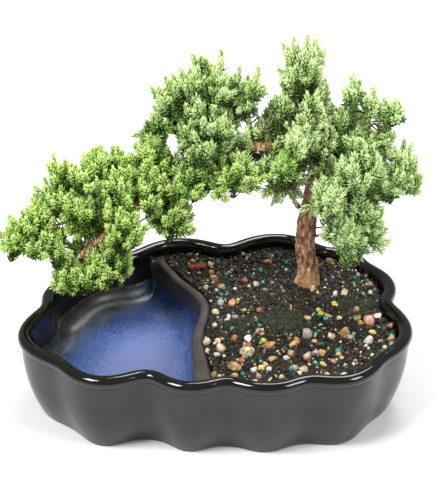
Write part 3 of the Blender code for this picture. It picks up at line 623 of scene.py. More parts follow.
def blue_glaze():
    """Blue floating glaze poured over the black one: opaque and pale where it is thick, speckled and
    teal-grey where it thins out over the black. Its edge wanders in waves of 9 mm and breaks up in grains
    of 1.3 mm. Two attributes hold how far inside its edge each point lies, in millimetres, and how near it
    is to the palest spot."""
    made, tree, shader, place = finish("floating_blue_glaze", IOR=1.55)
    reach = add(tree, "ShaderNodeAttribute", attribute_name="blue_reach").outputs["Fac"]
    pale = add(tree, "ShaderNodeAttribute", attribute_name="pale").outputs["Fac"]
    coarse = {"Vector": place, "Scale": per(9), "Detail": 5, "Roughness": 0.65}
    coarse = add(tree, "ShaderNodeTexNoise", coarse).outputs["Fac"]
    fine = {"Vector": place, "Scale": per(1.3), "Detail": 2}
    fine = add(tree, "ShaderNodeTexNoise", fine).outputs["Fac"]
    wave = {0: coarse, 1: 22, 2: -11}
    wave = add(tree, "ShaderNodeMath", wave, operation="MULTIPLY_ADD").outputs[0]
    edge = add(tree, "ShaderNodeMath", {0: reach, 1: wave}, operation="ADD").outputs[0]
    grain = {0: fine, 1: 44, 2: -22}
    grain = add(tree, "ShaderNodeMath", grain, operation="MULTIPLY_ADD").outputs[0]
    edge = add(tree, "ShaderNodeMath", {0: edge, 1: grain}, operation="ADD").outputs[0]
    cover = {"Value": edge, "From Min": -2.5, "From Max": 2.5}
    cover = add(tree, "ShaderNodeMapRange", cover).outputs["Result"]
    fringe = {"Value": edge, "From Min": -11, "From Max": -2}
    fringe = add(tree, "ShaderNodeMapRange", fringe).outputs["Result"]
    bare = ((0.35, "#1c1a19"), (0.7, "#37332f"))
    bare = add(tree, "ShaderNodeValToRGB", {"Fac": coarse}, stops=bare).outputs["Color"]
    veil = {"Factor": fringe, 6: bare, 7: linear("#3c4a55")}
    veil = add(tree, "ShaderNodeMix", veil, data_type="RGBA").outputs[2]
    depth = {"Value": edge, "From Min": 0, "From Max": 28, "To Max": 0.61}
    depth = add(tree, "ShaderNodeMapRange", depth).outputs["Result"]
    lift = {0: pale, 1: 0.55, 2: depth}
    lift = add(tree, "ShaderNodeMath", lift, operation="MULTIPLY_ADD").outputs[0]
    speckle = {0: fine, 1: 0.5, 2: -0.25}
    speckle = add(tree, "ShaderNodeMath", speckle, operation="MULTIPLY_ADD").outputs[0]
    lift = add(tree, "ShaderNodeMath", {0: lift, 1: speckle}, operation="ADD").outputs[0]
    blues = ((0.0, "#1f3360"), (0.3, "#38518a"), (0.6, "#50669e"), (0.95, "#6e7cae"))
    blue = add(tree, "ShaderNodeValToRGB", {"Fac": lift}, stops=blues).outputs["Color"]
    colour = {"Factor": cover, 6: veil, 7: blue}
    colour = add(tree, "ShaderNodeMix", colour, data_type="RGBA").outputs[2]
    tree.links.new(colour, shader.inputs["Base Color"])
    rough = {"Value": coarse, "From Min": 0.3, "From Max": 0.7, "To Min": 0.16, "To Max": 0.32}
    rough = add(tree, "ShaderNodeMapRange", rough).outputs["Result"]
    satin = {"Value": cover, "To Min": 0.15, "To Max": 0.0}
    satin = add(tree, "ShaderNodeMapRange", satin).outputs["Result"]
    rough = add(tree, "ShaderNodeMath", {0: rough, 1: satin}, operation="ADD").outputs[0]
    tree.links.new(rough, shader.inputs["Roughness"])
    bump = add(tree, "ShaderNodeBump", {"Height": coarse, "Strength": 0.3, "Distance": 0.4 * MM})
    tree.links.new(bump.outputs["Normal"], shader.inputs["Normal"])
    return made


def mottled(name, colours, size, roughness, bump=0.3, lift=0.2):
    """A natural or moulded stuff whose colour drifts between a few shades over a size in millimetres."""
    made, tree, shader, place = finish(name, Roughness=roughness)
    drift = {"Vector": place, "Scale": per(size), "Detail": 5, "Roughness": 0.65}
    drift = add(tree, "ShaderNodeTexNoise", drift).outputs["Fac"]
    shades = tuple(zip(np.linspace(0.36, 0.66, len(colours)), colours))
    colour = add(tree, "ShaderNodeValToRGB", {"Fac": drift}, stops=shades).outputs["Color"]
    tree.links.new(colour, shader.inputs["Base Color"])
    relief = {"Height": drift, "Strength": bump, "Distance": lift * MM}
    tree.links.new(add(tree, "ShaderNodeBump", relief).outputs["Normal"], shader.inputs["Normal"])
    return made


def juniper_bark():
    """Juniper bark, which peels in thin strips: red-brown strips over darker cracks, paler and more granular
    at the root flare. The palest, near-white shades fall where the relief stands highest: partly the bark's
    own pale edges, partly painted highlight."""
    made, tree, shader, place = finish("peeling_juniper_bark", Roughness=0.7)
    tall = add(tree, "ShaderNodeMapping", {"Vector": place, "Scale": (1, 1, 0.45)}).outputs["Vector"]
    strips = {"Vector": tall, "Scale": per(2.6), "Randomness": 1.0}
    strips = add(tree, "ShaderNodeTexVoronoi", strips).outputs["Distance"]
    drift = {"Vector": tall, "Scale": per(2.2), "Detail": 6, "Roughness": 0.75}
    drift = add(tree, "ShaderNodeTexNoise", drift).outputs["Fac"]
    # The shades climb with the relief, so the near-white top stop is painted highlight on the raised strips
    # as well as pale bark.
    shades = ((0.34, "#4a2416"), (0.43, "#b87048"), (0.53, "#e8b088"), (0.62, "#fff0e0"))
    peeling_and_highlight = add(tree, "ShaderNodeValToRGB", {"Fac": drift}, stops=shades).outputs["Color"]
    crack = {"Value": strips, "From Min": 0.42, "From Max": 0.75, "To Max": 0.6}
    crack = add(tree, "ShaderNodeMapRange", crack).outputs["Result"]
    body = {"Factor": crack, 6: peeling_and_highlight, 7: linear("#36190f")}
    body = add(tree, "ShaderNodeMix", body, data_type="RGBA").outputs[2]
    height = add(tree, "ShaderNodeSeparateXYZ", {"Vector": place}).outputs["Z"]
    flare = {"Value": height, "From Min": FLARE_TOP, "From Max": FLARE_FOOT, "To Max": 0.6}
    flare = add(tree, "ShaderNodeMapRange", flare).outputs["Result"]
    colour = {"Factor": flare, 6: body, 7: linear("#d8a878")}
    colour = add(tree, "ShaderNodeMix", colour, data_type="RGBA").outputs[2]
    tree.links.new(colour, shader.inputs["Base Color"])
    relief = {"Height": drift, "Strength": 0.8, "Distance": 0.5 * MM}
    tree.links.new(add(tree, "ShaderNodeBump", relief).outputs["Normal"], shader.inputs["Normal"])
    return made


def juniper_green(name, shades):
    """Juniper needles: waxy, dark and dull inside the spray, fresh and pale at the tips; the dark inside is
    partly old growth and partly painted shade. The map runs from old, shaded to new growth one way and from
    a needle's foot to its point the other way."""
    made, tree, shader, _ = finish(name, Roughness=0.5, Specular_IOR_Level=0.3)
    where = add(tree, "ShaderNodeUVMap", uv_map="OFBake").outputs["UV"]
    parts = add(tree, "ShaderNodeSeparateXYZ", {"Vector": where})
    ages = tuple(zip((0.06, 0.1, 0.38, 0.68, 0.96), (TWIG_BROWN, *shades)))
    green = add(tree, "ShaderNodeValToRGB", {"Fac": parts.outputs["X"]}, stops=ages).outputs["Color"]
    foot = {"Value": parts.outputs["Y"], "From Min": 0.0, "From Max": 0.8, "To Min": 0.25, "To Max": 0.0}
    foot = add(tree, "ShaderNodeMapRange", foot).outputs["Result"]
    colour = {"Factor": foot, 6: green, 7: linear(shades[0])}
    colour = add(tree, "ShaderNodeMix", colour, data_type="RGBA").outputs[2]
    tree.links.new(colour, shader.inputs["Base Color"])
    return made


# ---- The pot ---------------------------------------------------------------------------------------


def rim_outline():
    """The rim seen from above: a swelling arc from each notch to the next, with the notches eased."""
    steps = 60
    across = np.linspace(0, 1, steps, endpoint=False)[:, None]
    arcs = []
    for (ax, ay, swell), (bx, by, _) in zip(LOBES, LOBES[1:] + LOBES[:1]):
        start, end = np.array([ax, ay]) * HALF_PLAN, np.array([bx, by]) * HALF_PLAN
        outward = unit(np.array([end[1] - start[1], start[0] - end[0]]))
        arcs.append(start + (end - start) * across + outward * swell * MM * 4 * across * (1 - across))
    dense = respaced(np.vstack(arcs), steps * len(LOBES))
    spacing = np.linalg.norm(dense[1] - dense[0])
    dense = smoothed(dense, int(2 * (NOTCH_EASING / spacing) ** 2))
    low, high = dense.min(axis=0), dense.max(axis=0)
    return (respaced(dense, RIM_POINTS) - (low + high) / 2) * (2 * HALF_PLAN) / (high - low)


RIM = rim_outline()


def wall_inset(height):
    """How far the outside of the wall lies inside the rim at a height below the lip."""
    down = 1 - min(height, LIP_FOOT) / LIP_FOOT
    return LIP_OVERHANG + (BASE_INSET - LIP_OVERHANG) * down**WALL_CURVE


def lip_point(turn, inner=False):
    """Height and inset on the rolled lip at a turn in degrees from its outer or inner side."""
    angle = math.radians(turn)
    reach = LIP_WIDTH / 2 * (1 - math.cos(angle))
    height = POT_HEIGHT - LIP_HEIGHT / 2 + LIP_HEIGHT / 2 * math.sin(angle)
    return height, LIP_WIDTH - reach if inner else reach


def divider_line():
    """The divider's middle line from back to front, ending halfway through the wall, and its half widths."""
    line = curve_through(np.array(DIVIDER_LINE) * HALF_PLAN, 160)
    reach = 30 * MM
    start = line[0] + unit(line[0] - line[1]) * reach
    end = line[-1] + unit(line[-1] - line[-2]) * reach
    line = np.vstack([start, line, end])
    cuts = crossings(inset(RIM, wall_inset(LIP_FOOT) + WALL * 0.55), line)
    first, last = cuts[0], cuts[-1]
    inner = line[int(first[0]) + 1 : int(last[0]) + 1]
    line = respaced(np.vstack([first[2], inner, last[2]]), 110, closed=False)
    return line, DIVIDER_WIDTH / 2 * (1 + np.linspace(0, 1, len(line)) ** 3 * DIVIDER_FLARE)


def basin_loop():
    """The basin's outline, taken halfway into the wall and along the divider's middle line."""
    line, _ = divider_line()
    wall = inset(RIM, wall_inset(BASIN_FLOOR) + WALL / 2)
    extended = np.vstack([2 * line[0] - line[1], line, 2 * line[-1] - line[-2]])
    cuts = crossings(wall, extended)
    back, front = cuts[0], cuts[-1]
    first, last = int(back[1]) + 1, int(front[1])
    around = wall[first : last + 1] if first <= last else np.vstack([wall[first:], wall[: last + 1]])
    along = extended[int(back[0]) + 1 : int(front[0]) + 1][::-1]
    return respaced(np.vstack([back[2], around, front[2], along]), 300)


BASIN = basin_loop()


def drain_place(height):
    """The place on the drain's axis at a height."""
    return Vector((DRAIN_PLACE[0] * HALF_PLAN[0], DRAIN_PLACE[1] * HALF_PLAN[1], height))


def drain_cutter():
    """A round cutter for the drain hole, through the floor of the bed."""
    low, high = -BED_FLOOR, 2 * BED_FLOOR
    middle = Matrix.Translation(drain_place((low + high) / 2))
    sizes = {"radius1": DRAIN_RADIUS, "radius2": DRAIN_RADIUS, "depth": high - low}
    bm = bmesh.new()
    bmesh.ops.create_cone(bm, cap_ends=True, segments=48, matrix=middle, **sizes)
    return bm


def groove_cutter():
    """A cutter for the groove below the base, from the drain to the back."""
    run = HALF_PLAN[1] * 2
    size = Matrix.Diagonal((GROOVE_WIDTH, run, 2 * GROOVE_DEPTH, 1))
    place = Matrix.Translation(drain_place(0) + Vector((0, run / 2, 0)))
    bm = bmesh.new()
    bmesh.ops.create_cube(bm, size=1, matrix=place @ size)
    return bm


def make_pot(glaze):
    """The pot's wall, rolled lip and floor in one closed skin, with its openings underneath."""
    stations = [(0, wall_inset(0) + FOOT_EDGE)]
    stations += [(FOOT_EDGE * 0.3, wall_inset(0) + FOOT_EDGE * 0.5), (FOOT_EDGE, wall_inset(FOOT_EDGE))]
    stations += [(height, wall_inset(height)) for height in np.linspace(0.08, 1.0, 17) * LIP_FOOT]
    stations += [lip_point(turn) for turn in range(-60, 91, 15)]
    stations += [lip_point(turn, inner=True) for turn in range(75, -1, -15)]
    stations += [(height, wall_inset(height) + WALL) for height in np.linspace(1.0, 0.2, 12) * LIP_FOOT]
    stations.append((BED_FLOOR, wall_inset(BED_FLOOR) + WALL + FLOOR_FILLET))
    walls = skin([at_height(inset(RIM, depth), height) for height, depth in stations])
    shell = piece("pot_shell", walls, glaze, "glaze", ("pot",))
    hollow = scaled_about_middle(BASIN, HOLLOW_SHARE)
    cut_away(shell, skin([at_height(hollow, -5 * MM), at_height(hollow, BED_FLOOR + 4 * MM)]))
    cut_away(shell, drain_cutter())
    cut_away(shell, groove_cutter())
    shell.data.shade_smooth()
    shell.data.set_sharp_from_angle(angle=math.radians(40))


def make_divider(glaze):
    """The low wall between bed and basin, with a rounded top and a flare into the pot's wall at each end."""
    line, half_widths = divider_line()
    along = np.linspace(0, 1, len(line)) * np.linalg.norm(np.diff(line, axis=0), axis=1).sum()
    to_end = np.minimum(along, along[-1] - along) - WALL / 2
    flare = np.clip(1 - to_end / DIVIDER_FILLET, 0, 1.4) ** 2 * DIVIDER_FILLET * 0.8
    normals = side_normals(line, closed=False)
    bottom = BASIN_FLOOR - 2 * MM
    shoulder = DIVIDER_TOP - DIVIDER_ROUNDING
    section = [(-1.0, bottom), (1.0, bottom)]
    section += [(1.0, height) for height in np.linspace(BASIN_FLOOR, shoulder, 6)]
    for turn in range(15, 180, 15):
        angle = math.radians(turn)
        section.append((math.cos(angle), DIVIDER_TOP - DIVIDER_ROUNDING * (1 - math.sin(angle))))
    section += [(-1.0, height) for height in np.linspace(shoulder, BASIN_FLOOR, 6)]
    rings = []
    for point, normal, half_width in zip(line, normals, half_widths + flare):
        rings.append([(*(point + normal * side * half_width), height) for side, height in section])
    made = piece("pot_divider", skin(rings), glaze, "glaze", ("pot",))
    made.data.set_sharp_from_angle(angle=math.radians(50))


def make_basin(glaze):
    """The basin's dished floor, with how far each point lies inside the edge of the blue glaze."""
    under = BASIN_FLOOR - BASIN_SHELL
    rings = [at_height(scaled_about_middle(BASIN, 0.9), under), at_height(BASIN, under)]
    for share in (1.0, *np.linspace(0.955, 0.86, 24), *np.linspace(0.83, 0.06, 26)):
        ring = scaled_about_middle(BASIN, share)
        depth = np.clip(distance_to(BASIN, ring) - WALL / 2, 0.1 * MM, BASIN_FILLET)
        rise = BASIN_FILLET - np.sqrt(BASIN_FILLET**2 - (BASIN_FILLET - depth) ** 2)
        wave = 0.35 * MM * np.sin(ring[:, 0] / (13 * MM) + 1) * np.sin(ring[:, 1] / (17 * MM))
        rings.append(at_height(ring, BASIN_FLOOR + rise + wave))
    made = piece("basin_dish", skin(rings), glaze, "basin_glaze", ("pot",))
    points = np.array([vert.co for vert in made.data.vertices])[:, :2]
    limit = respaced(np.array(BLUE_LIMIT) * MM, BLUE_LIMIT_POINTS)
    reach = distance_to(limit, points) / MM
    reach = np.where(is_inside(limit, points), reach, -reach)
    away = np.linalg.norm(points / MM - np.array(PALE_SPOT), axis=1) / PALE_REACH
    for name, values in (("blue_reach", reach), ("pale", np.exp(-(away**2)))):
        layer = made.data.attributes.new(name, "FLOAT", "POINT")
        layer.data.foreach_set("value", values.astype(np.float32))
    made.data.set_sharp_from_angle(angle=math.radians(50))


# ---- Soil, stones and moss ---------------------------------------------------------------------------


def tree_of(made):
    """A lookup for the nearest point and the first hit on a piece's or bmesh's surface."""
    if isinstance(made, bmesh.types.BMesh):
        return BVHTree.FromBMesh(made)
    points = [vert.co for vert in made.data.vertices]
    return BVHTree.FromPolygons(points, [face.vertices for face in made.data.polygons])


def make_soil(finish_soil):
    """The soil's crumbly top, cut off below where the walls hide it."""
    bm = cad_copy("soil", voxel=1.3 * MM)
    everything = bm.verts[:] + bm.edges[:] + bm.faces[:]
    plane = {"plane_co": (0, 0, SOIL_CUT), "plane_no": UP}
    cut = bmesh.ops.bisect_plane(bm, geom=everything, dist=0.01 * MM, clear_inner=True, **plane)
    rim = [item for item in cut["geom_cut"] if isinstance(item, bmesh.types.BMEdge)]
    bmesh.ops.contextual_create(bm, geom=rim)
    for vert in bm.verts:
        if vert.co.z > SOIL_CUT + 4 * MM:
            coarse = noise.noise(vert.co * per(7))
            fine = noise.noise(vert.co * per(2.2) + Vector((7, 3, 1)))
            vert.co.z += (0.5 * coarse + 0.7 * fine) * MM
    return piece("soil_surface", bm, finish_soil, "soil", ("soil",))


def dropped(ground, x, y):
    """Where something that falls at a place first touches the ground, and the ground's normal there."""
    return ground.ray_cast(Vector((x, y, DROP_HEIGHT)), -UP)[:2]


def settle(ground, source, count, keep=None, clear_of=()):
    """Random points on the soil, clear of what already lies there and of steep places."""
    low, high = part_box("soil")
    points = []
    for _ in range(count * 8):
        if len(points) == count:
            break
        x, y = source.uniform(low.x, high.x), source.uniform(low.y, high.y)
        if keep is not None and source.random() > keep(x / MM, y / MM):
            continue
        if any((x - cx) ** 2 + (y - cy) ** 2 < reach**2 for cx, cy, reach in clear_of):
            continue
        hit, normal = dropped(ground, x, y)
        if hit is None or hit.z < LOWEST_SOIL or normal.z < 0.2:
            continue
        points.append(hit)
    return np.array(points)


def flatten(bm, source, middle, size, faces):
    """Presses broken faces into a rounded stone: what lies past each of a few planes is moved onto it."""
    for _ in range(faces):
        way = Vector((source.gauss(0, 1) for _ in range(3))).normalized()
        limit = source.uniform(0.62, 0.85) * size
        for vert in bm.verts:
            past = (vert.co - middle).dot(way) - limit
            if past > 0:
                vert.co -= way * past


def pebble_shape(seed, subdivisions=2, unevenness=0.16):
    """One small pebble of unit half size."""
    source = random.Random(seed)
    bm = bmesh.new()
    bmesh.ops.create_icosphere(bm, subdivisions=subdivisions, radius=1)
    shift = Vector((source.uniform(-9, 9) for _ in range(3)))
    for vert in bm.verts:
        vert.co *= 1 + unevenness * 2 * noise.noise(vert.co * 1.3 + shift)
    flatten(bm, source, Vector((0, 0, 0)), 0.92, 10)
    return shape_arrays(bm)


def gravel_thick(x, y):
    """Share of gravel kept at a place in millimetres: thick along the divider, the front and the right."""
    if x < 26 or y < -22 or x > 74:
        return 1.0
    return SPARSE_GRAVEL


def make_crumbs(ground, finishes, source):
    """Crumbs of peat, bark, perlite and moss that cover the soil."""
    crumb = pebble_shape(3, 1, 0.3)
    for name, count, sizes, stuff, slot in CRUMBS:
        points = settle(ground, source, count)
        size = source.uniform(*sizes, (len(points), 1)) * source.uniform(0.5, 1.3, (len(points), 3)) * MM
        points[:, 2] += size.mean(axis=1) * 0.3
        mesh = mesh_from(*stamped(crumb, random_axes(source, len(points), size), points))
        piece(name, mesh, finishes[stuff], slot, smooth=False)


def make_gravel(ground, finishes, clear_of, source):
    """Small pebbles, most of them 1.5 to 2.5 mm across and a few up to 6 mm."""
    for number, (stuff, count) in enumerate(GRAVEL.items()):
        points = settle(ground, source, count, gravel_thick, clear_of)
        shape_of = (len(points), 1)
        size = (source.uniform(0.75, 1.25, shape_of) + source.random(shape_of) ** 3 * 2.2) * MM
        size = size * source.uniform(0.7, 1.15, (len(points), 3))
        points[:, 2] += size.mean(axis=1) * 0.45
        parts = []
        for k in range(PEBBLE_SHAPES):
            some = slice(k, None, PEBBLE_SHAPES)
            axes = random_axes(source, len(points[some]), size[some])
            pebble = pebble_shape(SEEDS["gravel"] + PEBBLE_SHAPES * number + k)
            parts.append(stamped(pebble, axes, points[some]))
        piece(f"gravel_{stuff}", joined(parts), finishes[stuff], "stone")


def make_beads(ground, finishes, clear_of, source):
    """Round beads of coated fertiliser, half sunk in the soil."""
    for name, places, more in BEADS:
        extra = settle(ground, source, more, gravel_thick, clear_of)
        points = [tuple(point[:2]) for point in extra] + [(x * MM, y * MM) for x, y in places]
        bm = bmesh.new()
        for x, y in points:
            hit, _ = dropped(ground, x, y)
            radius = source.uniform(*BEAD_RADIUS) * MM
            if hit is not None:
                place = Matrix.Translation(hit + UP * radius * 0.6)
                bmesh.ops.create_icosphere(bm, subdivisions=2, radius=radius, matrix=place)
        piece(f"fertiliser_{name}", bm, finishes[f"{name}_bead"], "fertiliser")


def make_rootlets(ground, finishes, source):
    """Thin dry rootlets that lie on the soil."""
    points = settle(ground, source, ROOTLETS)
    turns = source.uniform(0, 2 * math.pi, len(points))
    run = np.column_stack([np.cos(turns), np.sin(turns), source.normal(0, 0.12, len(points))])
    length = source.uniform(2.5, 7.0, (len(points), 1)) * MM
    points[:, 2] += source.uniform(0.5, 1.3, len(points)) * MM
    piece("rootlets", strands(points, run * length, 0.16 * MM, source), finishes["rootlet"], "soil")


def joined(parts):
    """One mesh from several sets of points, triangles and, when they have them, map places."""
    points = np.vstack([part[0] for part in parts])
    starts = np.cumsum([0] + [len(part[0]) for part in parts[:-1]])
    faces = np.vstack([part[1] + start for part, start in zip(parts, starts)])
    uv = np.vstack([part[2] for part in parts]) if len(parts[0]) == 3 else None
    return mesh_from(points, faces, uv)


def needle_shape():
    """A closed three-sided needle of unit length along Z, thickest at its belly."""
    belly = 0.32
    bm = bmesh.new()
    place = Matrix.Translation((0, 0, belly))
    bmesh.ops.create_circle(bm, cap_ends=False, segments=3, radius=1, matrix=place)
    ring = bm.edges[:]
    for end in (0.0, 1.0):
        grown = bmesh.ops.extrude_edge_only(bm, edges=ring)["geom"]
        tip = [item for item in grown if isinstance(item, bmesh.types.BMVert)]
        bmesh.ops.pointmerge(bm, verts=tip, merge_co=(0, 0, end))
    return shape_arrays(bm)


NEEDLE = needle_shape()


def needle_axes(along, flat, width, thickness, length):
    """Axes of needles that run along one way and lie flat to another."""
    along = unit(along)
    across = unit(np.cross(along, flat))
    depth = np.cross(along, across)
    return np.stack([across * width, depth * thickness, along * length], axis=1)


def strands(starts, runs, radius, source):
    """Thin crooked fibres: three needle-shaped lengths each, end over end."""
    parts = []
    bend = np.cross(runs, unit(source.normal(size=runs.shape))) * 0.12
    place = starts
    for k in (-1, 0, 1):
        run = runs / 3 + bend * k
        length = np.linalg.norm(run, axis=1)[:, None]
        axes = needle_axes(run, np.roll(run, 1, axis=1) + 1e-5, radius, radius, length * 1.25)
        parts.append(stamped(NEEDLE, axes, place))
        place = place + run
    return joined(parts)


def make_stones(finishes):
    """The larger stones: worn blocks and pebbles with uneven faces. It gives back each one's place and
    reach, which gravel keeps clear of."""
    clear_of = []
    for number, (name, stuff) in enumerate(STONE_FINISH.items(), 1):
        node = f"stone_{name}"
        bm = cad_copy(node)
        low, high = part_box(node)
        middle, half = (low + high) / 2, (high - low) / 2
        clear_of.append((middle.x, middle.y, half.x))
        bmesh.ops.subdivide_edges(bm, edges=bm.edges[:], cuts=2, use_grid_fill=True, smooth=0.6)
        flatten(bm, random.Random(number), middle, (half.x + half.y + half.z) / 3, 9)
        bm.normal_update()
        shift = Vector((number * 3.1, 0, 0))
        for vert in bm.verts:
            coarse = noise.noise(vert.co * per(2.6) + shift)
            fine = noise.noise(vert.co * per(0.9) + shift)
            vert.co += vert.normal * (coarse * 0.45 + fine * 0.12) * MM
        piece(node + "_worn", bm, finishes[stuff], "stone", (node,))
    return clear_of


def make_moss(finishes, ground):
    """Moss cushions with fine upright blades, and loose tufts on the soil near them."""
    source = np.random.default_rng(SEEDS["moss"])
    around = 4 * MM
    for name in ("moss_front", "moss_right", "moss_left"):
        bm = cad_copy(name)
        bmesh.ops.subdivide_edges(bm, edges=bm.edges[:], cuts=3, use_grid_fill=True)
        bm.normal_update()
        for vert in bm.verts:
            vert.co += vert.normal * noise.noise(vert.co * per(1.8)) * 0.6 * MM
        cushion = tree_of(bm)
        low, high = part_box(name)
        spots, ways = [], []
        for _ in range(MOSS_BLADES):
            x = source.uniform(low.x - around, high.x + around)
            y = source.uniform(low.y - around, high.y + around)
            hit, normal = dropped(cushion, x, y)
            if hit is None:
                hit, normal = dropped(ground, x, y)
            if hit is not None and hit.z > LOWEST_SOIL + 1 * MM:
                spots.append(hit)
                ways.append(normal + Vector(source.normal(0, 0.55, 3)))
        spots, ways = np.array(spots), np.array(ways)
        length = source.uniform(1.0, 2.4, (len(spots), 1)) * MM
        axes = needle_axes(ways, source.normal(size=ways.shape), 0.22 * MM, 0.16 * MM, length)
        blades = mesh_from(*stamped(NEEDLE, axes, spots))
        piece(name + "_cushion", bm, finishes["moss"], "moss", (name,))
        piece(name + "_blades", blades, finishes["moss_blade"], "moss")


def make_bark_chip(finishes):
    """A chip of pine bark with a grain of ridges along it."""
    bm = cad_copy("bark_chip")
    bmesh.ops.subdivide_edges(bm, edges=bm.edges[:], cuts=4, use_grid_fill=True)
    bm.normal_update()
    along, across = 200, 900
    for vert in bm.verts:
        grain = noise.noise(Vector((vert.co.x * along, vert.co.y * across, vert.co.z * across)))
        vert.co += vert.normal * grain * 0.5 * MM
    piece("bark_chip_rough", bm, finishes["bark_chip"], "bark_chip", ("bark_chip",))


# ---- The tree ----------------------------------------------------------------------------------------


def make_trunk(bark):
    """Trunk and limbs, with strips and cracks running along them. The bark is thinner on the limbs, and the
    lower trunk swells a little."""
    bm = cad_copy("trunk_and_limbs", voxel=0.6 * MM)
    every_way = {"use_axis_x": True, "use_axis_y": True, "use_axis_z": True}
    for _ in range(3):
        bmesh.ops.smooth_vert(bm, verts=bm.verts, factor=0.5, **every_way)
    bm.normal_update()
    for vert in bm.verts:
        co = vert.co
        strip = noise.noise(Vector((co.x * per(2.4), co.y * per(2.4), co.z * per(6.5))))
        flake = noise.noise(Vector((co.x * per(1.3), co.y * per(1.3), co.z * per(2.6))) + Vector((5, 5, 5)))
        lump = noise.noise(co * per(9))
        relief = 0.75 * strip + 0.75 * flake + 0.7 * lump - 0.45
        if co.z < LIMBS_FROM and co.x > TRUNK_SIDE:
            relief += 0.9 * math.exp(-(((co.z / MM - 88) / 26) ** 2))
        else:
            relief *= 0.45
        vert.co += vert.normal * relief * MM
    return piece("trunk_bark", bm, bark, "bark", ("trunk_and_limbs",))


def ellipsoid_area(half):
    """The surface of an ellipsoid with these half sizes, by Thomsen's formula."""
    power = 1.6
    sides = (half.x * half.y, half.x * half.z, half.y * half.z)
    return 4 * math.pi * sum(side**power / 3 for side in sides) ** (1 / power)


def pad_tips(middle, surface, near, opens, spear, source):
    """Places of a pad's spray tips on its surface, the way out at each and its layer, thinned where pads
    join. Tips are spread evenly by turning through the golden angle from one to the next."""
    low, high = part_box(surface)
    count = int(ellipsoid_area((high - low) / 2) / TIP_SPACING**2 * (0.85 if spear else 1.1))
    golden_angle = math.pi * (3 - math.sqrt(5))
    body = tree_of(cad_copy(surface))
    tips, ways, layers = [], [], []
    for layer, (reach, share) in enumerate(LAYERS):
        in_layer = int(count * share)
        for k in range(in_layer):
            z = 1 - 2 * (k + 0.5) / in_layer
            turn = k * golden_angle + layer
            flat = math.sqrt(1 - z * z)
            way = Vector((flat * math.cos(turn), flat * math.sin(turn), z))
            way = (way + Vector(source.normal(0, 0.12, 3))).normalized()
            hit = body.ray_cast(middle + way * 100 * MM, -way)[0]
            if hit is None:
                continue
            tip = middle + (hit - middle) * source.uniform(*reach)
            tip.z += source.uniform(-3.0 if way.z > 0 else 0.0, 3.0) * MM
            joined_up = any(other.find_nearest(tip, 2.5 * MM)[0] is not None for other in near)
            if joined_up and source.random() > 0.9 or source.random() < 0.45 * opens:
                continue
            tips.append(tip)
            ways.append(way)
            layers.append(layer)
    return np.array(tips), np.array(ways), np.array(layers)


def bent(feet, start, end, length, stations):
    """Stations along shoots that leave one way and bend to another: their places and the way they run."""
    s = np.linspace(0, 1, stations)[None, :, None]
    path = start[:, None] * (s - s**2 / 2) + end[:, None] * (s**2 / 2)
    return feet[:, None] + path * length[:, None], unit(start[:, None] * (1 - s) + end[:, None] * s)


def main_shoots(tips, ways, opens, spear, source):
    """Shoots that end at the tips, turned up towards the light more the higher they sit."""
    count = len(tips)
    lift = np.interp(ways[:, 2], *LIFT)[:, None] * (1 - 0.6 * opens)
    end = unit(ways * (1 - lift) + np.array(UP) * lift + source.normal(0, 0.12, (count, 3)))
    start = unit(end + ways * np.array([0.8, 0.8, 0.1]))
    length = source.uniform(*MAIN_LENGTH, (count, 1)) * MM * (1 + 0.2 * spear) * (1 - 0.2 * opens)
    length = length * np.interp(end[:, 2], *RISE_LENGTH)[:, None]
    curve, run = bent(np.zeros((count, 3)), start, end, length, MAIN_WHORLS + 1)
    return curve + (tips - curve[:, -1])[:, None], run


def side_shoots(curve, run, source):
    """Shorter shoots that branch off main ones, a little below their tips."""
    count = len(curve)
    places = source.integers(*SIDE_FEET, count)
    feet, ahead = curve[np.arange(count), places], run[np.arange(count), places]
    out = unit(np.cross(ahead, source.normal(size=(count, 3))))
    end = unit(ahead + 0.45 * out + 0.45 * np.array(UP))
    length = source.uniform(*SIDE_LENGTH, (count, 1)) * MM
    return bent(feet, unit(ahead + 1.6 * out), end, length, SIDE_WHORLS + 1)


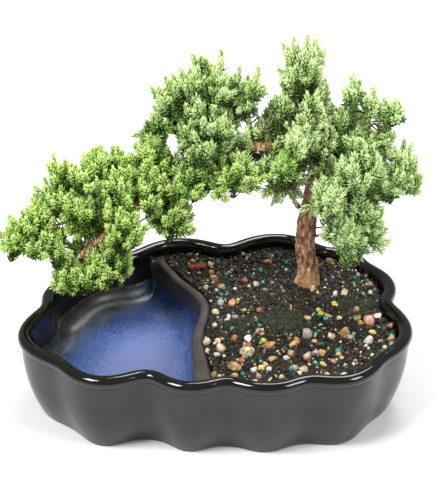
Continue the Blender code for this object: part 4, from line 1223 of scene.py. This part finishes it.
def shoot_needles(curve, run, tone, opens, spear, source):
    """All needles of a group of shoots: points, triangles and map places. The arrays go by the
    shoot, its whorl, the needle in the whorl and, for places and ways, x, y and z."""
    count, stations, _ = curve.shape
    side = unit(np.cross(run, source.normal(size=(count, 1, 3))))
    other = np.cross(run, side)
    s = np.linspace(0, 1, stations)

    turn = source.uniform(0, 2 * math.pi, (count, 1, 1)) + np.arange(stations)[None, :, None] * math.pi / 3
    turn = turn + np.arange(NEEDLES_EACH)[None, None, :] * 2 * math.pi / NEEDLES_EACH
    turn = turn + source.normal(0, 0.2, turn.shape)
    out = side[:, :, None] * np.cos(turn)[..., None] + other[:, :, None] * np.sin(turn)[..., None]

    at_foot, at_tip = NEEDLE_SPREAD
    spread = at_foot + (at_tip - 6 * spear - at_foot) * s ** (2 - spear)
    spread = spread + OPEN_SPREAD * opens * (1 - 0.4 * s)
    spread = spread - BUD_CLOSING * np.clip((s - 0.85) / 0.15, 0, 1)
    spread = np.radians(spread[None, :, None] + source.normal(0, 7, turn.shape))
    along = run[:, :, None] * np.cos(spread)[..., None] + out * np.sin(spread)[..., None]

    at_foot, at_tip = NEEDLE_LENGTH
    length = (at_foot + (at_tip - at_foot) * s**2)[None, :, None]
    length = length * source.uniform(0.85, 1.15, turn.shape) * (1 + 0.3 * opens + 0.12 * spear)
    places = np.broadcast_to(curve[:, :, None], along.shape) + out * 0.2 * MM
    width = source.uniform(*NEEDLE_WIDTH, (along[..., 0].size, 1)) * MM * (1 - 0.35 * opens + 0.06 * spear)
    sizes = (width, width * NEEDLE_THICKNESS, length.reshape(-1, 1))
    axes = needle_axes(along.reshape(-1, 3), out.reshape(-1, 3), *sizes)
    points, faces = stamped(NEEDLE, axes, places.reshape(-1, 3))

    # Needles darken from a shoot's tip to its foot: fresh growth at the tip, and at the foot old growth
    # together with painted shade.
    young_and_unshaded = np.clip((s - 0.15) / 0.6, 0, 1)[None, :, None] ** 1.2
    shade = tone[:, None, None] + OLDEST_AND_SHADED_NEEDLE + (YOUNGEST_NEEDLE - OLDEST_AND_SHADED_NEEDLE) * young_and_unshaded
    shade = np.clip(shade + source.normal(0, 0.025, turn.shape), 0.12, 0.98).ravel()
    up_needle = np.tile(NEEDLE[0][:, 2], len(shade)) * 0.9 + 0.05
    return points, faces, np.column_stack([np.repeat(shade, len(NEEDLE[0])), up_needle])


def stem_tubes(paths, first_radius, last_radius, shade):
    """Three-sided stems along paths (stems x steps x 3), with radii in millimetres: points, triangles and
    map places. Each stem is a copy of the first one's faces, as there are thousands of them."""
    count, steps, _ = paths.shape
    radii = (np.linspace(first_radius, last_radius, steps) * MM)[None, :, None]
    run = unit(np.gradient(paths, axis=1))
    side = unit(np.cross(run, np.array([0.31, 0.87, 0.13])))
    other = np.cross(run, side)
    ring = []
    for k in range(3):
        angle = 2 * math.pi * k / 3
        ring.append(paths + (side * math.cos(angle) + other * math.sin(angle)) * radii)
    points = np.stack(ring, axis=2).reshape(-1, 3)
    stem = []
    for step in range(steps - 1):
        for k in range(3):
            a, b = step * 3 + k, step * 3 + (k + 1) % 3
            stem += [(a, b, b + 3), (a, b + 3, a + 3)]
    last = (steps - 1) * 3
    stem += [(2, 1, 0), (last, last + 1, last + 2)]
    faces = np.array(stem)[None] + (np.arange(count) * steps * 3)[:, None, None]
    uv = np.column_stack([np.full(len(points), shade), np.full(len(points), 0.5)])
    return points, faces.reshape(-1, 3), uv


def clear_shoots(curve):
    """Which shoots stay out of every clearing."""
    view = np.array(FRONT_VIEW)
    clear = np.ones(len(curve), bool)
    for *middle, radius, reach in CLEARINGS:
        away = curve - np.array(middle) * MM
        deep = np.clip(away @ view, -reach * MM, reach * MM)
        gap = np.linalg.norm(away - deep[..., None] * view, axis=2).min(axis=1)
        clear &= gap > radius * MM
    return clear


def nearest_bark(bark, points):
    """The nearest place on the bark to each point."""
    return np.array([bark.find_nearest(Vector(point))[0] for point in points])


def twig_parts(feet, run, bark):
    """Twigs from the shoots' feet to the nearest bark. Those that start far from it share one branch."""
    parts = []
    ends = nearest_bark(bark, feet)
    far = np.linalg.norm(ends - feet, axis=1) > LONGEST_TWIG
    if far.any():
        hub = feet[far].mean(axis=0)
        root = nearest_bark(bark, [hub])[0]
        t = np.linspace(0, 1, 5)[:, None]
        branch = root + (hub - root) * t + np.array(UP) * 2 * MM * np.sin(math.pi * t)
        parts.append(stem_tubes(branch[None], 1.0, 0.6, TWIG_SHADE))
        ends[far] = hub
    t = np.linspace(0, 1, 5)[None, :, None]
    sag = (feet + ends)[:, None] / 2 - run[:, :1] * 3 * MM
    twigs = ends[:, None] * (1 - t) ** 2 + sag * 2 * t * (1 - t) + feet[:, None] * t**2
    parts.append(stem_tubes(twigs, 0.6, 0.42, TWIG_SHADE))
    return parts


def spray_mesh(tips, ways, tone, opens, spear, bark, source):
    """A thicket of sprays: every spray has a stem, whorls of needles and a twig to the nearest limb."""
    curve, run = main_shoots(tips, ways, opens, spear, source)
    clear = clear_shoots(curve)
    curve, run, tone = curve[clear], run[clear], tone[clear]
    parts = [shoot_needles(curve, run, tone, opens, spear, source)]
    parts.append(stem_tubes(curve[:, ::3], 0.5, 0.25, STEM_SHADE))
    for _ in range(SIDE_SHOOTS):
        side_curve, side_run = side_shoots(curve, run, source)
        parts.append(shoot_needles(side_curve, side_run, tone + 0.04, opens, spear, source))
        parts.append(stem_tubes(side_curve[:, ::7], 0.35, 0.2, STEM_SHADE))
    return joined(parts + twig_parts(curve[:, 0], run, bark))


def make_limb_sprays(greens, trunk, bark):
    """Short sprays straight off the limbs, which close the gaps between the pads."""
    source = np.random.default_rng(SEEDS["limb_sprays"])
    mesh = trunk.data
    middles = [face.center for face in mesh.polygons]
    for kind, count, ((left, right), (low, high)), lightness in LIMB_SPRAYS:
        on_reach = [k for k, m in enumerate(middles) if left < m.x / MM < right and low < m.z / MM < high]
        chosen = source.choice(on_reach, count, replace=False)
        feet = np.array([middles[k] for k in chosen])
        ways = np.array([mesh.polygons[k].normal for k in chosen])
        ways = unit(ways + 0.5 * np.array(UP) + source.normal(0, 0.35, ways.shape))
        tips = feet + ways * source.uniform(9, 15, (count, 1)) * MM
        tone = lightness + source.normal(0, 0.05, count)
        made = spray_mesh(tips, ways, tone, LIMB_OPENNESS, kind in SPEAR_LIKE, bark, source)
        piece(f"limb_sprays_{kind}_{right}", made, greens[kind], "foliage")


def make_filling(greens, bark):
    """Sprays between the pads, which make one outline of them."""
    source = np.random.default_rng(SEEDS["filling"])
    for number, (kind, count, middle, radius, lightness) in enumerate(FILLING):
        ways = source.normal(size=(count, 3)) + np.array([0, -0.3, 0.5])
        ways[:, 2] = np.abs(ways[:, 2])
        ways = unit(ways)
        tips = (np.array(middle) + ways * source.uniform(0.4, 1.0, (count, 1)) * radius) * MM
        tone = lightness + source.normal(0, 0.08, count)
        made = spray_mesh(tips, ways, tone, FILLING_OPENNESS, kind in SPEAR_LIKE, bark, source)
        piece(f"filling_sprays_{number}", made, greens[kind], "foliage")


def make_foliage(greens, trunk):
    """Each pad as a thicket of sprays, and short sprays along the limbs."""
    bark = tree_of(trunk)
    middles = {}
    bodies = {}
    for name in PAD_LOOK:
        low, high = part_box("foliage_" + name)
        middles[name] = (low + high) / 2
        bodies[name] = tree_of(cad_copy("foliage_" + name))
    for number, (name, (kind, lightness, opens)) in enumerate(PAD_LOOK.items()):
        source = np.random.default_rng(SEEDS["pads"] + number)
        node = "foliage_" + name
        middle = middles[name]
        spear = kind in SPEAR_LIKE
        others = [other for other in PAD_LOOK if other != name]
        near = [bodies[other] for other in others if (middles[other] - middle).length < PAD_REACH]
        tips, ways, layers = pad_tips(middle, node, near, opens, spear, source)
        # Sprays of the inner layer get painted shade.
        tone = lightness + source.normal(0, 0.09, len(tips)) - INNER_PAINTED_SHADE * layers
        if name == "right_skirt":
            ways = unit(0.5 * ways + np.array(SKIRT_LEAN))
        made = spray_mesh(tips, ways, tone, opens, spear, bark, source)
        piece("sprays_" + name, made, greens[kind], "foliage", (node,))
    make_limb_sprays(greens, trunk, bark)
    make_filling(greens, bark)


# ---- The studio and the whole ------------------------------------------------------------------------


def make_studio():
    """A plain pale floor, soft boxes and a camera that looks down at the pot from the front."""
    bm = bmesh.new()
    bmesh.ops.create_grid(bm, x_segments=1, y_segments=1, size=4)
    pale, _, shader, _ = finish("pale_paper", Roughness=0.9)
    shader.inputs["Base Color"].default_value = linear("#f7f7f7")
    piece("floor", bm, pale)
    world = bpy.data.worlds.new("studio")
    bpy.context.scene.world = world
    world.use_nodes = True
    sky = world.node_tree.nodes["Background"]
    sky.inputs["Color"].default_value = (1, 1, 1, 1)
    sky.inputs["Strength"].default_value = 0.35
    for name, place, size, power in SOFT_BOXES:
        light = bpy.data.lights.new(name, "AREA")
        light.size = size
        light.energy = power
        lamp = bpy.data.objects.new(name, light)
        lamp.location = place
        lamp.rotation_euler = (LIT_PLACE - Vector(place)).to_track_quat("-Z", "Y").to_euler()
        bpy.context.scene.collection.objects.link(lamp)
    view = bpy.data.cameras.new("view")
    view.sensor_width = 36
    view.lens = CAMERA_LENS
    camera = bpy.data.objects.new("view", view)
    camera.location = CAMERA_PLACE
    camera.rotation_euler = (math.radians(CAMERA_TILT), 0, 0)
    bpy.context.scene.collection.objects.link(camera)
    bpy.context.scene.camera = camera
    bpy.context.scene.view_settings.view_transform = "Standard"


def all_finishes():
    """The finishes of what lies on the soil."""
    made = {}
    for name, colours in STONE_COLOURS.items():
        made[name] = mottled(f"{name}_stone", colours, 3.5, 0.5)
    for name, (stuff, *looks) in STUFFS.items():
        made[name] = mottled(stuff, *looks)
    return made


def main():
    make_pot(black_glaze("poured_black_glaze", *BLACK_GLAZES["poured_black_glaze"]))
    make_divider(black_glaze("brushed_black_glaze", *BLACK_GLAZES["brushed_black_glaze"]))
    make_basin(blue_glaze())
    finishes = all_finishes()
    soil = make_soil(finishes["peat"])
    ground = tree_of(soil)
    clear_of = make_stones(finishes)
    scatter = np.random.default_rng(SEEDS["ground"])
    make_crumbs(ground, finishes, scatter)
    make_gravel(ground, finishes, clear_of, scatter)
    make_beads(ground, finishes, clear_of, scatter)
    make_rootlets(ground, finishes, scatter)
    make_moss(finishes, ground)
    make_bark_chip(finishes)
    trunk = make_trunk(juniper_bark())
    make_foliage({name: juniper_green(f"juniper_{name}", shades) for name, shades in GREENS.items()}, trunk)
    plastic = mottled("moulded_mesh_plastic", ("#0c0c0c", "#151515"), 2, 0.5)
    nodes["drain_screen"].data.materials.clear()
    nodes["drain_screen"].data.materials.append(plastic)
    make_studio()


main()
